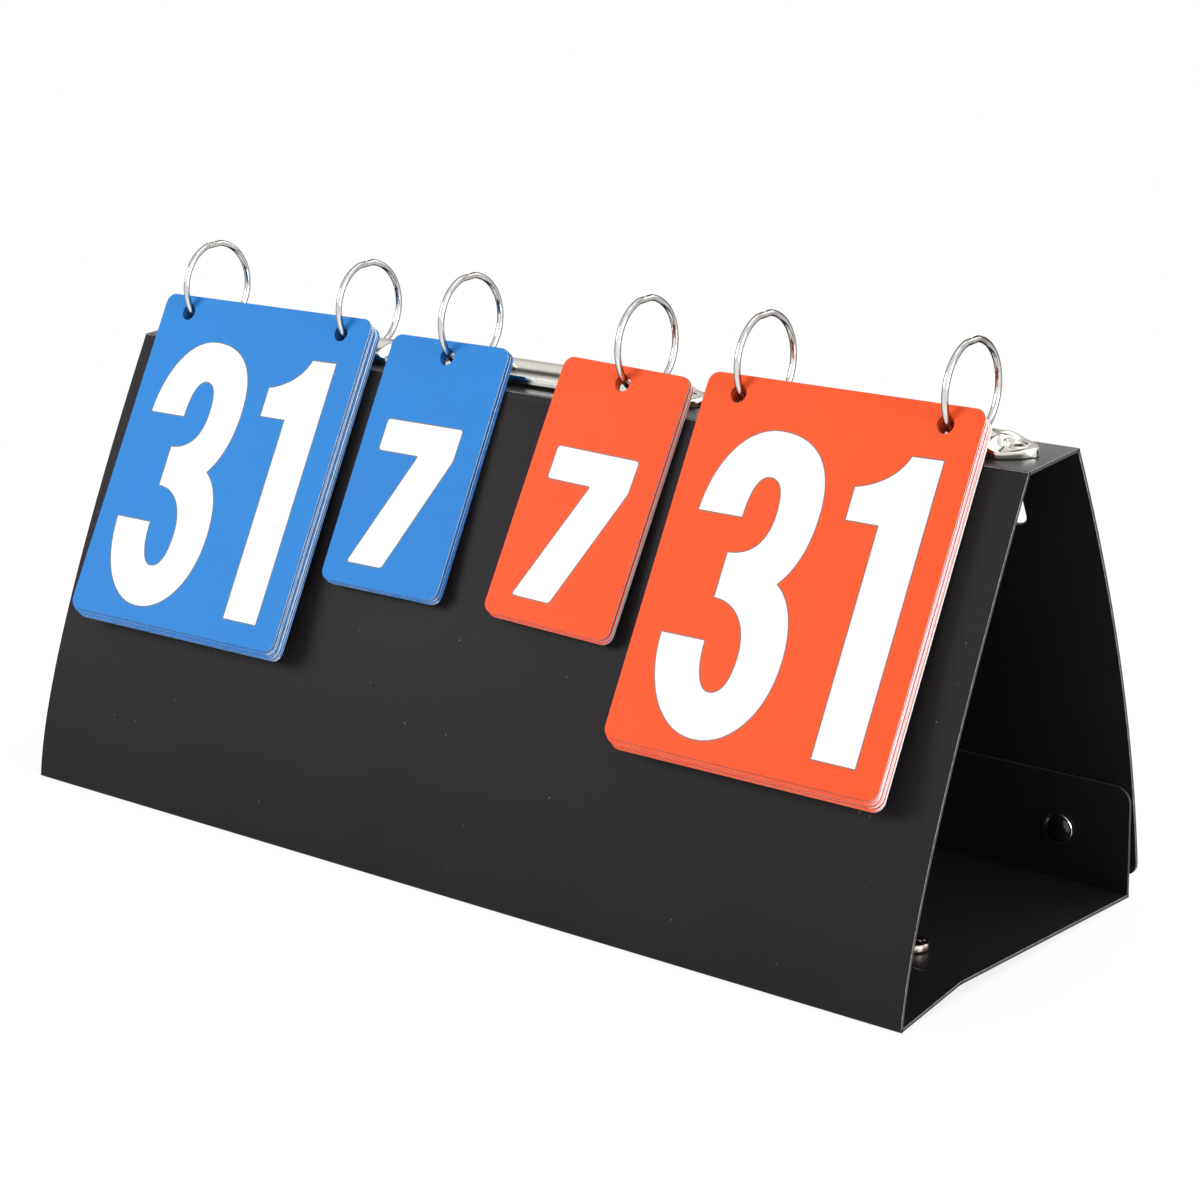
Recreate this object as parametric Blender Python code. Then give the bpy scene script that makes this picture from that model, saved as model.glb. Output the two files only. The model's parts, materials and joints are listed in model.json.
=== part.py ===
# Fold-up tabletop flip scoreboard. A creased plastic sheet stands as a tent, and four packs of
# numbered leaves hang from three 2-ring mechanisms along its spine.
# Metres, +Z up. X runs along the board and -Y is the side that shows the score.
# Points of the end view are (y, z) pairs, and leans are measured from the vertical.

import math

import bmesh
import bpy
from mathutils import Matrix, Vector

# Cover plates of the ring mechanisms. Three stand end to end along the spine, so most lengths follow theirs.
PLATE_LENGTH = 0.128
PLATE_NOSE = 0.0140  # length of each rounded end
PLATE_SPACE = 0.0020  # between neighbouring plates
MECHANISM_SPACING = PLATE_LENGTH + PLATE_SPACE
MECHANISM_OFFSET = -0.002
EYELET_SPACING = PLATE_LENGTH - PLATE_NOSE
RING_INSET = 0.0240  # from the plate's end
RING_PITCH = PLATE_LENGTH - 2 * RING_INSET
LEAF_INSET = 0.0010  # from where the plate starts to narrow
LEAF_LENGTH = PLATE_LENGTH - 2 * (PLATE_NOSE + LEAF_INSET)

# Creased sheet
END_MARGIN = 0.0040  # beyond the outer plates, before the row of three is shifted
BOARD_LENGTH = 3 * PLATE_LENGTH + 2 * PLATE_SPACE + 2 * END_MARGIN
SHEET = 0.0012
CREASE_GAP = 0.0005  # between a rounded crease and the square end of the next panel
FRONT_SLANT = 0.1767  # bottom crease to top crease, straight across
FRONT_LEAN = math.radians(21.5)
FRONT_TOP_LEAN = math.radians(27.0)  # the sheet bows out, so it leans more at its top than at its foot
FRONT_FOOT_LEAN = math.radians(6.0)
SPINE_WIDTH = 0.0310
SPINE_TILT = math.radians(4.0)
BACK_SLANT = 0.1705
BACK_LEAN = math.radians(19.06)
BACK_TOP_LEAN = math.radians(28.0)
BACK_FOOT_LEAN = math.radians(8.0)
FORE_EDGE_WIDTH = 0.0346
RIDGE_RISE = 0.0045  # the crease behind the front edge stands this far above the table
FLAP_HEIGHT = 0.0400
FLAP_EDGE_GAP = 0.0004  # between the flap's free edge and the back panel
FLAP_CORNER = 0.0060
BACK_CORNER = 0.0050
BOW_STEPS = 8
CORNER_STEPS = 4

# Slots in both covers, which the rings pass when the board is closed round them
SLOT_WIDTH = 0.0084
SLOT_START = 0.0080  # from the crease at the spine
SLOT_END = 0.0353

# Ring mechanisms
RING_RADIUS = 0.0165  # to the middle of the wire
WIRE_RADIUS = 0.0012
RING_LIFT = 0.0187  # ring centre above the spine
RING_SPLIT = 0.0004  # where the two halves meet
RING_STEPS = 12
WIRE_SIDES = 8
TENON_RADIUS = 0.0007
PLATE_WIDTH = 0.0196
PLATE_GAUGE = 0.0007
PLATE_CROWN = 0.0065  # ridge above the spine
PLATE_SHOULDER = 0.0037  # long edges above the spine
PLATE_LIP = 0.0013  # foot of the folded lips above the spine
PLATE_END_CROWN = 0.0050  # where the eyelet clamps it down
PLATE_TIP_CROWN = 0.0028
PLATE_TIP_SHARE = 0.2  # width of the blunt tip, as a share of the plate's
PLATE_ARCH_STEPS = 6
NOTCH_INNER = 0.0056  # from the middle of the plate
NOTCH_MARGIN = 0.0005
LEAF_GAUGE = 0.0008
LEAF_HINGE = 0.0026  # hinge line above the spine
LEAF_SLOPE = math.radians(6.0)
LEAF_GAP = 0.0004  # between the inner edges of the two leaves
FOOT_INSET = 0.0014  # the wire's foot stands this far inside the hinge line
EYELET_RADIUS = 0.0016
EYELET_FLANGE = 0.0031
EYELET_HEAD = 0.0006
EYELET_DIMPLE = 0.0009

# Score leaves
CARD_LEAN = math.radians(27.5)
CARD_CORNER = 0.0040
CARD_CORNER_STEPS = 2
HOLE_RADIUS = 0.00275
HANG = 0.0010  # how far each hole's centre hangs outside the wire's middle
HOLE_SIDES = 10
CARD_GAUGE = 0.0005
STACK_GAP = 0.0003
GROOVE = 0.0002
GROOVE_DEPTH = 0.0003
SETS_WIDTH = 0.055
PACK_GAP = 0.0090  # between neighbouring packs
POINTS_WIDTH = 2 * (MECHANISM_SPACING - PACK_GAP) - RING_PITCH - SETS_WIDTH
POINTS_HEIGHT = 0.1280
POINTS_FRONT = 0.0098  # front of the pack, measured forward from the ring centre
POINTS_HOLE_DROP = 0.0066  # hole centre below the top edge
POINTS_BLOCK_COUNT = 3
POINTS_LEAF = 0.00032
POINTS_LEAF_COUNT = 3  # in each block
SETS_HEIGHT = 0.0940
SETS_FRONT = 0.0069
SETS_HOLE_DROP = 0.0060
SETS_BLOCK_COUNT = 2
SETS_LEAF = 0.00028
SETS_LEAF_COUNT = 2

# Press studs
SNAP_INSET = 0.0274  # from each end of the board
FLAP_SNAP_DROP = 0.0205  # below the flap's free edge
FLAP_SNAP_RISE = FLAP_HEIGHT - FLAP_SNAP_DROP
BASE_SNAP_INSET = 0.0150  # behind the ridge
SNAP_SPACE = 0.0036  # between the flap and the back panel
CAP_RADIUS = 0.00575
CAP_RIM = 0.0005
CAP_DOME = 0.0017
POST_RADIUS = 0.0015
SOCKET_RADIUS = 0.0052
SOCKET_BORE = 0.0033
SOCKET_HEIGHT = 0.0020
SOCKET_FLOOR = 0.0005
STUD_FLANGE_RADIUS = 0.0029
STUD_FLANGE = 0.0007
STUD_RADIUS = 0.0016
STUD_HEIGHT = 0.0013
TURNED_STEPS = 12

CLEARANCE = 0.0003  # between pieces that seat on each other
HALF_SHEET = SHEET / 2
HALF_BOARD = BOARD_LENGTH / 2


def rising(lean):
    # Unit vector of the end view that climbs and leans to the rear.
    return Vector((math.sin(lean), math.cos(lean)))


def bow(top, top_lean, foot, foot_lean, steps):
    # Points of a panel that bows from its top to its foot, as a quadratic curve.
    # Leans are those of the panel, positive where it leans to the rear as it climbs.
    down = -rising(top_lean)
    up = rising(foot_lean)
    across = foot - top
    reach = (across.x * up.y - across.y * up.x) / (down.x * up.y - down.y * up.x)
    handle = top + down * reach
    shares = [step / steps for step in range(steps + 1)]
    return [top * (1 - t) ** 2 + handle * (2 * t * (1 - t)) + foot * t * t for t in shares]


def lengths_along(path):
    lengths = [0.0]
    for a, b in zip(path, path[1:]):
        lengths.append(lengths[-1] + (b - a).length)
    return lengths


def reach_at_height(path, height):
    # Distance along a falling path to the point at a height.
    lengths = lengths_along(path)
    for index, (a, b) in enumerate(zip(path, path[1:])):
        if a.y >= height >= b.y:
            share = (a.y - height) / (a.y - b.y)
            return lengths[index] + share * (b - a).length
    raise ValueError("the path does not reach that height")


def point_along(path, reach):
    # The point at a distance along a path, and the path's direction there.
    lengths = lengths_along(path)
    for index, (a, b) in enumerate(zip(path, path[1:])):
        if lengths[index] <= reach <= lengths[index + 1]:
            direction = (b - a).normalized()
            return a + direction * (reach - lengths[index]), direction
    raise ValueError("the path is shorter than that")


# Crease axes of the end view. The front bottom crease stands on the table at y = 0.
FOOT_CREASE = Vector((0.0, HALF_SHEET))
FRONT_CREASE = FOOT_CREASE + rising(FRONT_LEAN) * FRONT_SLANT
ALONG_SPINE = Vector((math.cos(SPINE_TILT), math.sin(SPINE_TILT)))
OFF_SPINE = Vector((-math.sin(SPINE_TILT), math.cos(SPINE_TILT)))
BACK_CREASE = FRONT_CREASE + ALONG_SPINE * SPINE_WIDTH
BACK_FOOT = BACK_CREASE - rising(-BACK_LEAN) * BACK_SLANT
FRONT_PATH = bow(FRONT_CREASE, FRONT_TOP_LEAN, FOOT_CREASE, FRONT_FOOT_LEAN, BOW_STEPS)
BACK_PATH = bow(BACK_CREASE, -BACK_TOP_LEAN, BACK_FOOT, -BACK_FOOT_LEAN, BOW_STEPS)
RIDGE_CREASE = FOOT_CREASE + Vector((math.sqrt(FORE_EDGE_WIDTH**2 - RIDGE_RISE**2), RIDGE_RISE))
SPINE_MIDDLE = (FRONT_CREASE + BACK_CREASE) / 2 + OFF_SPINE * HALF_SHEET
RING_CENTRE = SPINE_MIDDLE + OFF_SPINE * RING_LIFT

# The flap stands off the back panel by the height of a closed press stud.
FLAP_SNAP_HEIGHT = HALF_SHEET + FLAP_SNAP_RISE
BACK_SNAP_REACH = reach_at_height(BACK_PATH, FLAP_SNAP_HEIGHT)
BACK_SNAP, BACK_SNAP_DOWN = point_along(BACK_PATH, BACK_SNAP_REACH)
BESIDE_FLAP_EDGE = point_along(BACK_PATH, reach_at_height(BACK_PATH, HALF_SHEET + FLAP_HEIGHT))[0]
FLAP_SNAP = BACK_SNAP - Vector((SNAP_SPACE + SHEET, 0.0))
FLAP_EDGE = BESIDE_FLAP_EDGE - Vector((FLAP_EDGE_GAP + SHEET, 0.0))
FLAP_LEAN = math.atan2(FLAP_SNAP.x - FLAP_EDGE.x, FLAP_EDGE.y - FLAP_SNAP.y)  # forward, away from the back panel
FLAP_UP = rising(-FLAP_LEAN)
FLAP_CREASE = FLAP_SNAP - FLAP_UP * FLAP_SNAP_RISE
FLAP_PATH = [FLAP_CREASE, FLAP_CREASE + FLAP_UP * FLAP_HEIGHT]


def clear_scene():
    for found in list(bpy.data.objects):
        bpy.data.objects.remove(found, do_unlink=True)


def make_material(name, colour, roughness, metallic):
    material = bpy.data.materials.new(name)
    material.use_nodes = True
    shader = material.node_tree.nodes["Principled BSDF"]
    shader.inputs["Base Color"].default_value = (*colour, 1.0)
    shader.inputs["Roughness"].default_value = roughness
    shader.inputs["Metallic"].default_value = metallic
    return material


def make_materials():
    return {
        "sheet": make_material("charcoal_sheet", (0.032, 0.030, 0.030), 0.5, 0.0),
        "chrome": make_material("chromed_steel", (0.80, 0.78, 0.75), 0.12, 1.0),
        "leaf": make_material("plated_leaf", (0.45, 0.45, 0.46), 0.35, 1.0),
        "blue": make_material("blue_card", (0.035, 0.215, 0.70), 0.35, 0.0),
        "red": make_material("red_card", (0.93, 0.110, 0.040), 0.35, 0.0),
        "cap": make_material("black_snap_cap", (0.02, 0.02, 0.02), 0.2, 0.5),
        "snap": make_material("snap_metal", (0.62, 0.56, 0.48), 0.25, 1.0),
    }


def add_empty(name, parent, place, tilt=0.0):
    empty = bpy.data.objects.new(name, None)
    empty.empty_display_size = 0.01
    empty.parent = parent
    empty.location = place
    empty.rotation_euler = (tilt, 0.0, 0.0)
    bpy.context.scene.collection.objects.link(empty)
    return empty


def add_piece(name, mesh, material, parent, place=(0.0, 0.0, 0.0), tilt=0.0):
    if not mesh.materials:
        mesh.materials.append(material)
        mesh.shade_smooth()
        mesh.set_sharp_from_angle(angle=math.radians(30))
    piece = bpy.data.objects.new(name, mesh)
    piece.parent = parent
    piece.location = place
    piece.rotation_euler = (tilt, 0.0, 0.0)
    bpy.context.scene.collection.objects.link(piece)
    return piece


def add_cutter(piece, mesh):
    # A hidden cutter that shares its piece's origin and is taken away from it.
    cutter = add_piece(f"{piece.name}_cutter_{len(piece.modifiers)}", mesh, None, piece)
    cutter.hide_render = True
    cutter.display_type = "WIRE"
    modifier = piece.modifiers.new(cutter.name, "BOOLEAN")
    modifier.operation = "DIFFERENCE"
    modifier.object = cutter


def finish_mesh(name, bm):
    bmesh.ops.recalc_face_normals(bm, faces=bm.faces)
    mesh = bpy.data.meshes.new(name)
    bm.to_mesh(mesh)
    bm.free()
    return mesh


def skin(bm, loops):
    # Closed skin over loops of the same number of points, with a face at each end.
    rows = [[bm.verts.new(point) for point in loop] for loop in loops]
    for row, following in zip(rows, rows[1:]):
        for index in range(len(row)):
            bm.faces.new((row[index - 1], row[index], following[index], following[index - 1]))
    bm.faces.new(rows[0])
    bm.faces.new(list(reversed(rows[-1])))


def turned_mesh(name, profile):
    # A profile of (radius, height) points turned about Z, from the axis back to the axis.
    bm = bmesh.new()
    verts = [bm.verts.new((radius, 0.0, height)) for radius, height in profile]
    edges = [bm.edges.new(pair) for pair in zip(verts, verts[1:])]
    bmesh.ops.spin(
        bm, geom=verts + edges, cent=(0, 0, 0), axis=(0, 0, 1), angle=math.tau, steps=TURNED_STEPS, use_merge=True
    )
    bmesh.ops.remove_doubles(bm, verts=bm.verts, dist=1e-6)
    return finish_mesh(name, bm)


def circle_points(x, y, radius, sides):
    turns = [math.tau * side / sides for side in range(sides)]
    return [(x + radius * math.cos(turn), y + radius * math.sin(turn)) for turn in turns]


def slot_points(x, start, end, width):
    # Outline of a slot with round ends that runs from start to end along the panel.
    radius = width / 2
    points = []
    for middle, first in ((end - radius, 0), (start + radius, 180)):
        for step in range(CORNER_STEPS + 1):
            turn = math.radians(first + 180 * step / CORNER_STEPS)
            points.append((x + radius * math.cos(turn), middle + radius * math.sin(turn)))
    return points


def rounded_rectangle(width, top, bottom, radius, steps):
    points = []
    for side, level, first in ((1, top, 0), (-1, top, 90), (-1, bottom, 180), (1, bottom, 270)):
        centre = level - radius if level == top else level + radius
        for step in range(steps + 1):
            turn = math.radians(first + 90 * step / steps)
            points.append(
                (side * (width / 2 - radius) + radius * math.cos(turn), centre + radius * math.sin(turn))
            )
    return points


def flat_sheet(outline, holes, gauge):
    # A flat plate in X and Y with holes through it, centred on Z = 0.
    bm = bmesh.new()
    edges = []
    for loop in [outline, *holes]:
        verts = [bm.verts.new((x, y, -gauge / 2)) for x, y in loop]
        edges += [bm.edges.new((verts[index - 1], verts[index])) for index in range(len(verts))]
    bmesh.ops.triangle_fill(bm, use_beauty=True, use_dissolve=False, edges=edges)
    grown = bmesh.ops.extrude_face_region(bm, geom=bm.faces[:])
    moved = [item for item in grown["geom"] if isinstance(item, bmesh.types.BMVert)]
    bmesh.ops.translate(bm, verts=moved, vec=(0.0, 0.0, gauge))
    return bm


def mitred_normals(path):
    # At each point of a path, the offset that keeps an even thickness on both sides of it.
    normals = [Vector((-(b - a).y, (b - a).x)).normalized() for a, b in zip(path, path[1:])]
    mitres = [normals[0]]
    for before, after in zip(normals, normals[1:]):
        middle = (before + after).normalized()
        mitres.append(middle / middle.dot(after))
    return mitres + [normals[-1]]


def panel_mesh(name, path, origin, holes, start_kind, end_kind, corner=0.0):
    # A sheet that follows a path of the end view. A "nose" is a full round edge centred on the crease axis,
    # a "short" edge is square and stands clear of a neighbour's nose, and a "free" one is cut at the path's end.
    lengths = lengths_along(path)
    length = lengths[-1]
    nose_reach = [HALF_SHEET * math.cos(math.radians(turn)) for turn in (18, 54)]
    beyond = {"nose": nose_reach[0], "short": -(HALF_SHEET + CREASE_GAP), "free": 0.0}
    nose_start, nose_end = start_kind == "nose", end_kind == "nose"
    start, end = -beyond[start_kind], length + beyond[end_kind]
    outline = [(-HALF_BOARD, start), (HALF_BOARD, start)]
    if corner:
        for side, first in ((1, 0), (-1, 90)):
            for step in range(CORNER_STEPS + 1):
                turn = math.radians(first + 90 * step / CORNER_STEPS)
                across = side * (HALF_BOARD - corner) + corner * math.cos(turn)
                outline.append((across, end - corner + corner * math.sin(turn)))
    else:
        outline += [(HALF_BOARD, end), (-HALF_BOARD, end)]
    bm = flat_sheet(outline, holes, SHEET)
    stations = lengths[1:-1]
    if nose_start:
        stations += [-nose_reach[1], 0.0]
    if nose_end:
        stations += [length, length + nose_reach[1]]
    for station in stations:
        bmesh.ops.bisect_plane(
            bm, geom=bm.verts[:] + bm.edges[:] + bm.faces[:], dist=1e-7, plane_co=(0, station, 0), plane_no=(0, 1, 0)
        )
    mitres = mitred_normals(path)
    for vert in bm.verts:
        reach, depth = vert.co.y, vert.co.z
        past = max(-reach if nose_start else 0.0, reach - length if nose_end else 0.0, 0.0)
        depth *= math.sqrt(max(0.0, 1 - (past / HALF_SHEET) ** 2))
        index = 0
        while index < len(path) - 2 and reach > lengths[index + 1]:
            index += 1
        share = (reach - lengths[index]) / (lengths[index + 1] - lengths[index])
        near = path[index] + mitres[index] * depth
        far = path[index + 1] + mitres[index + 1] * depth
        place = near.lerp(far, share) - origin
        vert.co = (vert.co.x, place.x, place.y)
    return finish_mesh(name, bm)


def mechanism_places():
    return {
        "left": MECHANISM_OFFSET - MECHANISM_SPACING,
        "middle": MECHANISM_OFFSET,
        "right": MECHANISM_OFFSET + MECHANISM_SPACING,
    }


def ring_places():
    return [x + side * RING_PITCH / 2 for x in mechanism_places().values() for side in (-1, 1)]


def build_board(root, materials):
    spine_frame = add_empty("spine_frame", root, (0.0, *SPINE_MIDDLE), SPINE_TILT)
    sheet = materials["sheet"]
    middle = SPINE_WIDTH / 2
    eyelets = [
        circle_points(x + side * EYELET_SPACING / 2, middle, EYELET_RADIUS + CLEARANCE, HOLE_SIDES)
        for x in mechanism_places().values()
        for side in (-1, 1)
    ]
    spine = panel_mesh("spine_strip", [FRONT_CREASE, BACK_CREASE], SPINE_MIDDLE, eyelets, "nose", "nose")
    add_piece("spine_strip", spine, sheet, root, (0.0, *SPINE_MIDDLE))

    slots = [slot_points(x, SLOT_START, SLOT_END, SLOT_WIDTH) for x in ring_places()]
    front_hinge = add_empty("front_crease", root, (0.0, *FRONT_CREASE))
    front = panel_mesh("front_panel", FRONT_PATH, FRONT_CREASE, slots, "short", "nose")
    add_piece("front_panel", front, sheet, front_hinge)

    snaps = [side * (HALF_BOARD - SNAP_INSET) for side in (-1, 1)]
    post_hole = POST_RADIUS + CLEARANCE
    back_hinge = add_empty("back_crease", root, (0.0, *BACK_CREASE))
    posts = [circle_points(x, BACK_SNAP_REACH, post_hole, HOLE_SIDES) for x in snaps]
    back = panel_mesh("back_panel", BACK_PATH, BACK_CREASE, slots + posts, "short", "free", BACK_CORNER)
    add_piece("back_panel", back, sheet, back_hinge)

    foot_hinge = add_empty("foot_crease", front_hinge, (0.0, *(FOOT_CREASE - FRONT_CREASE)))
    fore_edge = panel_mesh("fore_edge_strip", [FOOT_CREASE, RIDGE_CREASE], FOOT_CREASE, [], "short", "short")
    add_piece("fore_edge_strip", fore_edge, sheet, foot_hinge)

    ridge_hinge = add_empty("ridge_crease", foot_hinge, (0.0, *(RIDGE_CREASE - FOOT_CREASE)))
    base_path = [RIDGE_CREASE, FLAP_CREASE]
    posts = [circle_points(x, BASE_SNAP_INSET, post_hole, HOLE_SIDES) for x in snaps]
    base = panel_mesh("base_strip", base_path, RIDGE_CREASE, posts, "nose", "nose")
    add_piece("base_strip", base, sheet, ridge_hinge)

    flap_hinge = add_empty("flap_crease", ridge_hinge, (0.0, *(FLAP_CREASE - RIDGE_CREASE)))
    posts = [circle_points(x, FLAP_SNAP_RISE, post_hole, HOLE_SIDES) for x in snaps]
    flap = panel_mesh("snap_flap", FLAP_PATH, FLAP_CREASE, posts, "short", "free", FLAP_CORNER)
    add_piece("snap_flap", flap, sheet, flap_hinge)

    base_snap, base_along = point_along(base_path, BASE_SNAP_INSET)
    base_up = Vector((-base_along.y, base_along.x))
    flap_snap = FLAP_CREASE + FLAP_UP * FLAP_SNAP_RISE
    flap_front = Vector((-FLAP_UP.y, FLAP_UP.x))
    back_out = Vector((-BACK_SNAP_DOWN.y, BACK_SNAP_DOWN.x))
    cap_mesh, metal_mesh, socket_mesh, stud_mesh = snap_meshes()
    for side, x in zip(("left", "right"), snaps):
        for name, frame, crease, point, outward, mate, mate_mesh, top_mesh, top in (
            ("base", ridge_hinge, RIDGE_CREASE, base_snap, base_up, "base_socket", socket_mesh, metal_mesh, "snap"),
            ("flap", flap_hinge, FLAP_CREASE, flap_snap, flap_front, "flap_socket", socket_mesh, cap_mesh, "cap"),
            ("stud", back_hinge, BACK_CREASE, BACK_SNAP, back_out, "stud", stud_mesh, cap_mesh, "cap"),
        ):
            cap_place = point + outward * HALF_SHEET - crease
            mate_place = point - outward * HALF_SHEET - crease
            cap_tilt = math.atan2(-outward.x, outward.y)
            add_piece(f"{side}_{name}_cap", top_mesh, materials[top], frame, (x, *cap_place), cap_tilt)
            add_piece(
                f"{side}_{mate}", mate_mesh, materials["snap"], frame, (x, *mate_place), cap_tilt + math.pi
            )
    return spine_frame


def snap_meshes():
    # Each stands on its side of the sheet with Z away from it; the cap's post fills the hole.
    seat = CLEARANCE
    rim = seat + CAP_RIM
    cap_profile = [
        (0.0, -SHEET),
        (POST_RADIUS, -SHEET),
        (POST_RADIUS, seat),
        (CAP_RADIUS, seat),
        (CAP_RADIUS, rim),
        (CAP_RADIUS * 0.90, rim + CAP_DOME * 0.40),
        (CAP_RADIUS * 0.62, rim + CAP_DOME * 0.78),
        (CAP_RADIUS * 0.30, rim + CAP_DOME * 0.96),
        (0.0, rim + CAP_DOME),
    ]
    socket_top = seat + SOCKET_HEIGHT
    socket_profile = [
        (0.0, seat),
        (SOCKET_RADIUS, seat),
        (SOCKET_RADIUS, socket_top - SOCKET_FLOOR),
        (SOCKET_RADIUS - SOCKET_FLOOR, socket_top),
        (SOCKET_BORE, socket_top),
        (SOCKET_BORE, seat + SOCKET_FLOOR),
        (0.0, seat + SOCKET_FLOOR),
    ]
    stud_base = seat + STUD_FLANGE
    stud_profile = [
        (0.0, seat),
        (STUD_FLANGE_RADIUS, seat),
        (STUD_FLANGE_RADIUS, stud_base),
        (STUD_RADIUS, stud_base),
        (STUD_RADIUS, stud_base + STUD_HEIGHT * 0.8),
        (STUD_RADIUS * 0.75, stud_base + STUD_HEIGHT),
        (0.0, stud_base + STUD_HEIGHT),
    ]
    return (
        turned_mesh("snap_cap", cap_profile),
        turned_mesh("metal_snap_cap", cap_profile),
        turned_mesh("snap_socket", socket_profile),
        turned_mesh("snap_stud", stud_profile),
    )


def plate_section(x, inset):
    # One slice of the arched cover plate, from foot to foot, at a distance x from its middle.
    nose = max(0.0, (abs(x) - (PLATE_LENGTH / 2 - PLATE_NOSE)) / PLATE_NOSE)
    half = (PLATE_WIDTH / 2) * max(PLATE_TIP_SHARE, math.sqrt(max(0.0, 1 - nose * nose))) - inset
    near_tip = max(0.0, (nose - 0.75) / 0.25)
    crown = PLATE_CROWN + (PLATE_END_CROWN - PLATE_CROWN) * min(1.0, nose / 0.25)
    crown += (PLATE_TIP_CROWN - PLATE_END_CROWN) * near_tip
    shoulder = crown - (PLATE_CROWN - PLATE_SHOULDER) * (1 - 0.75 * near_tip)
    foot = PLATE_LIP + (CLEARANCE - PLATE_LIP) * min(1.0, nose / 0.25)
    points = [(-half, foot)]
    for step in range(PLATE_ARCH_STEPS + 1):
        share = 2 * step / PLATE_ARCH_STEPS - 1
        points.append((half * share, crown - (crown - shoulder) * share * share - inset))
    points.append((half, foot))
    return points


def plate_mesh():
    # A pressed plate, open underneath: an outer and an inner skin joined round their feet.
    end = PLATE_LENGTH / 2
    nose_stations = [0.0, 0.25, 0.5, 0.75, 0.9, 1.0]
    right = [end - PLATE_NOSE * (1 - share) for share in nose_stations]
    stations = [-x for x in reversed(right)] + right
    bm = bmesh.new()
    skins = []
    for inset in (0.0, PLATE_GAUGE):
        squeeze = (end - inset) / end
        rows = []
        for x in stations:
            row = [bm.verts.new((x * squeeze, a, b)) for a, b in plate_section(x, inset)]
            rows.append(row)
        for row, following in zip(rows, rows[1:]):
            for index in range(1, len(row)):
                bm.faces.new((row[index - 1], row[index], following[index], following[index - 1]))
        bm.faces.new(rows[0])
        bm.faces.new(rows[-1])
        rim = [row[0] for row in rows] + [row[-1] for row in reversed(rows)]
        skins.append(rim)
    outer, inner = skins
    for index in range(len(outer)):
        bm.faces.new((outer[index - 1], outer[index], inner[index], inner[index - 1]))
    return finish_mesh("cover_plate", bm)


def box_points(low, high):
    (x0, y0, z0), (x1, y1, z1) = low, high
    return [[(x0, y0, z), (x1, y0, z), (x1, y1, z), (x0, y1, z)] for z in (z0, z1)]


def plate_cutter_mesh():
    # Notches for the four wires and a hole for each eyelet.
    bm = bmesh.new()
    half_notch = WIRE_RADIUS + NOTCH_MARGIN
    for x in (-RING_PITCH / 2, RING_PITCH / 2):
        for side in (-1, 1):
            near, far = sorted((side * NOTCH_INNER, side * PLATE_WIDTH))
            skin(bm, box_points((x - half_notch, near, PLATE_LIP / 2), (x + half_notch, far, 2 * PLATE_CROWN)))
    for side in (-1, 1):
        outline = circle_points(side * EYELET_SPACING / 2, 0.0, EYELET_RADIUS + CLEARANCE, HOLE_SIDES)
        skin(bm, [[(x, y, z) for x, y in outline] for z in (PLATE_LIP, 2 * PLATE_CROWN)])
    return finish_mesh("plate_cutter", bm)


def eyelet_mesh():
    top = PLATE_END_CROWN + CLEARANCE
    under = -(SHEET + CLEARANCE)
    profile = [
        (0.0, top - EYELET_HEAD),
        (EYELET_DIMPLE, top - EYELET_HEAD),
        (EYELET_DIMPLE, top + EYELET_HEAD * 0.6),
        (EYELET_RADIUS, top + EYELET_HEAD),
        (EYELET_FLANGE, top + EYELET_HEAD * 0.4),
        (EYELET_FLANGE, top),
        (EYELET_RADIUS, top),
        (EYELET_RADIUS, under),
        (EYELET_FLANGE, under),
        (EYELET_RADIUS, under - EYELET_HEAD),
        (0.0, under - EYELET_HEAD),
    ]
    return turned_mesh("eyelet", profile)


def hinge_reach():
    return PLATE_WIDTH / 2 - PLATE_GAUGE - CLEARANCE


def leaf_mesh(side):
    # A hinged leaf under the plate. Its hinge line is its outer edge, and side is -1 for the front one.
    width = hinge_reach() - LEAF_GAP / 2
    half = LEAF_LENGTH / 2
    inner = -side * width
    outline = [(-half, 0.0), (half, 0.0), (half, inner), (-half, inner)]
    holes = [
        circle_points(x, -side * FOOT_INSET, TENON_RADIUS + CLEARANCE, HOLE_SIDES)
        for x in (-RING_PITCH / 2, RING_PITCH / 2)
    ]
    return finish_mesh("ring_leaf", flat_sheet(outline, holes, LEAF_GAUGE))


def half_ring_mesh(side):
    # Half a ring of wire with its foot bent down and shouldered to pass its leaf, from the hinge line.
    foot = hinge_reach() - FOOT_INSET
    first = math.asin(foot / RING_RADIUS)
    last = math.pi - math.asin((RING_SPLIT / 2) / RING_RADIUS)
    arc = []
    for step in range(RING_STEPS + 1):
        turn = last + (first - last) * step / RING_STEPS
        arc.append(Vector((side * RING_RADIUS * math.sin(turn), RING_LIFT - RING_RADIUS * math.cos(turn))))
    leaf_top = LEAF_HINGE - FOOT_INSET * math.sin(LEAF_SLOPE) + LEAF_GAUGE / 2
    shoulder = leaf_top + CLEARANCE
    end = leaf_top - LEAF_GAUGE - CLEARANCE
    tenon = [Vector((side * foot, height)) for height in (shoulder, shoulder, end)]
    radii = [WIRE_RADIUS] * len(arc) + [WIRE_RADIUS * 0.8, TENON_RADIUS, TENON_RADIUS]
    mitres = mitred_normals(arc + tenon[:1])[:-1] + [Vector((1.0, 0.0))] * len(tenon)
    hinge = Vector((side * hinge_reach(), LEAF_HINGE))
    bm = bmesh.new()
    loops = []
    for point, mitre, radius in zip(arc + tenon, mitres, radii):
        loop = []
        for index in range(WIRE_SIDES):
            turn = math.tau * (index + 0.5) / WIRE_SIDES
            spot = point - hinge + mitre * (radius * math.sin(turn))
            loop.append((radius * math.cos(turn), spot.x, spot.y))
        loops.append(loop)
    skin(bm, loops)
    return finish_mesh("half_ring", bm)


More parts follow.
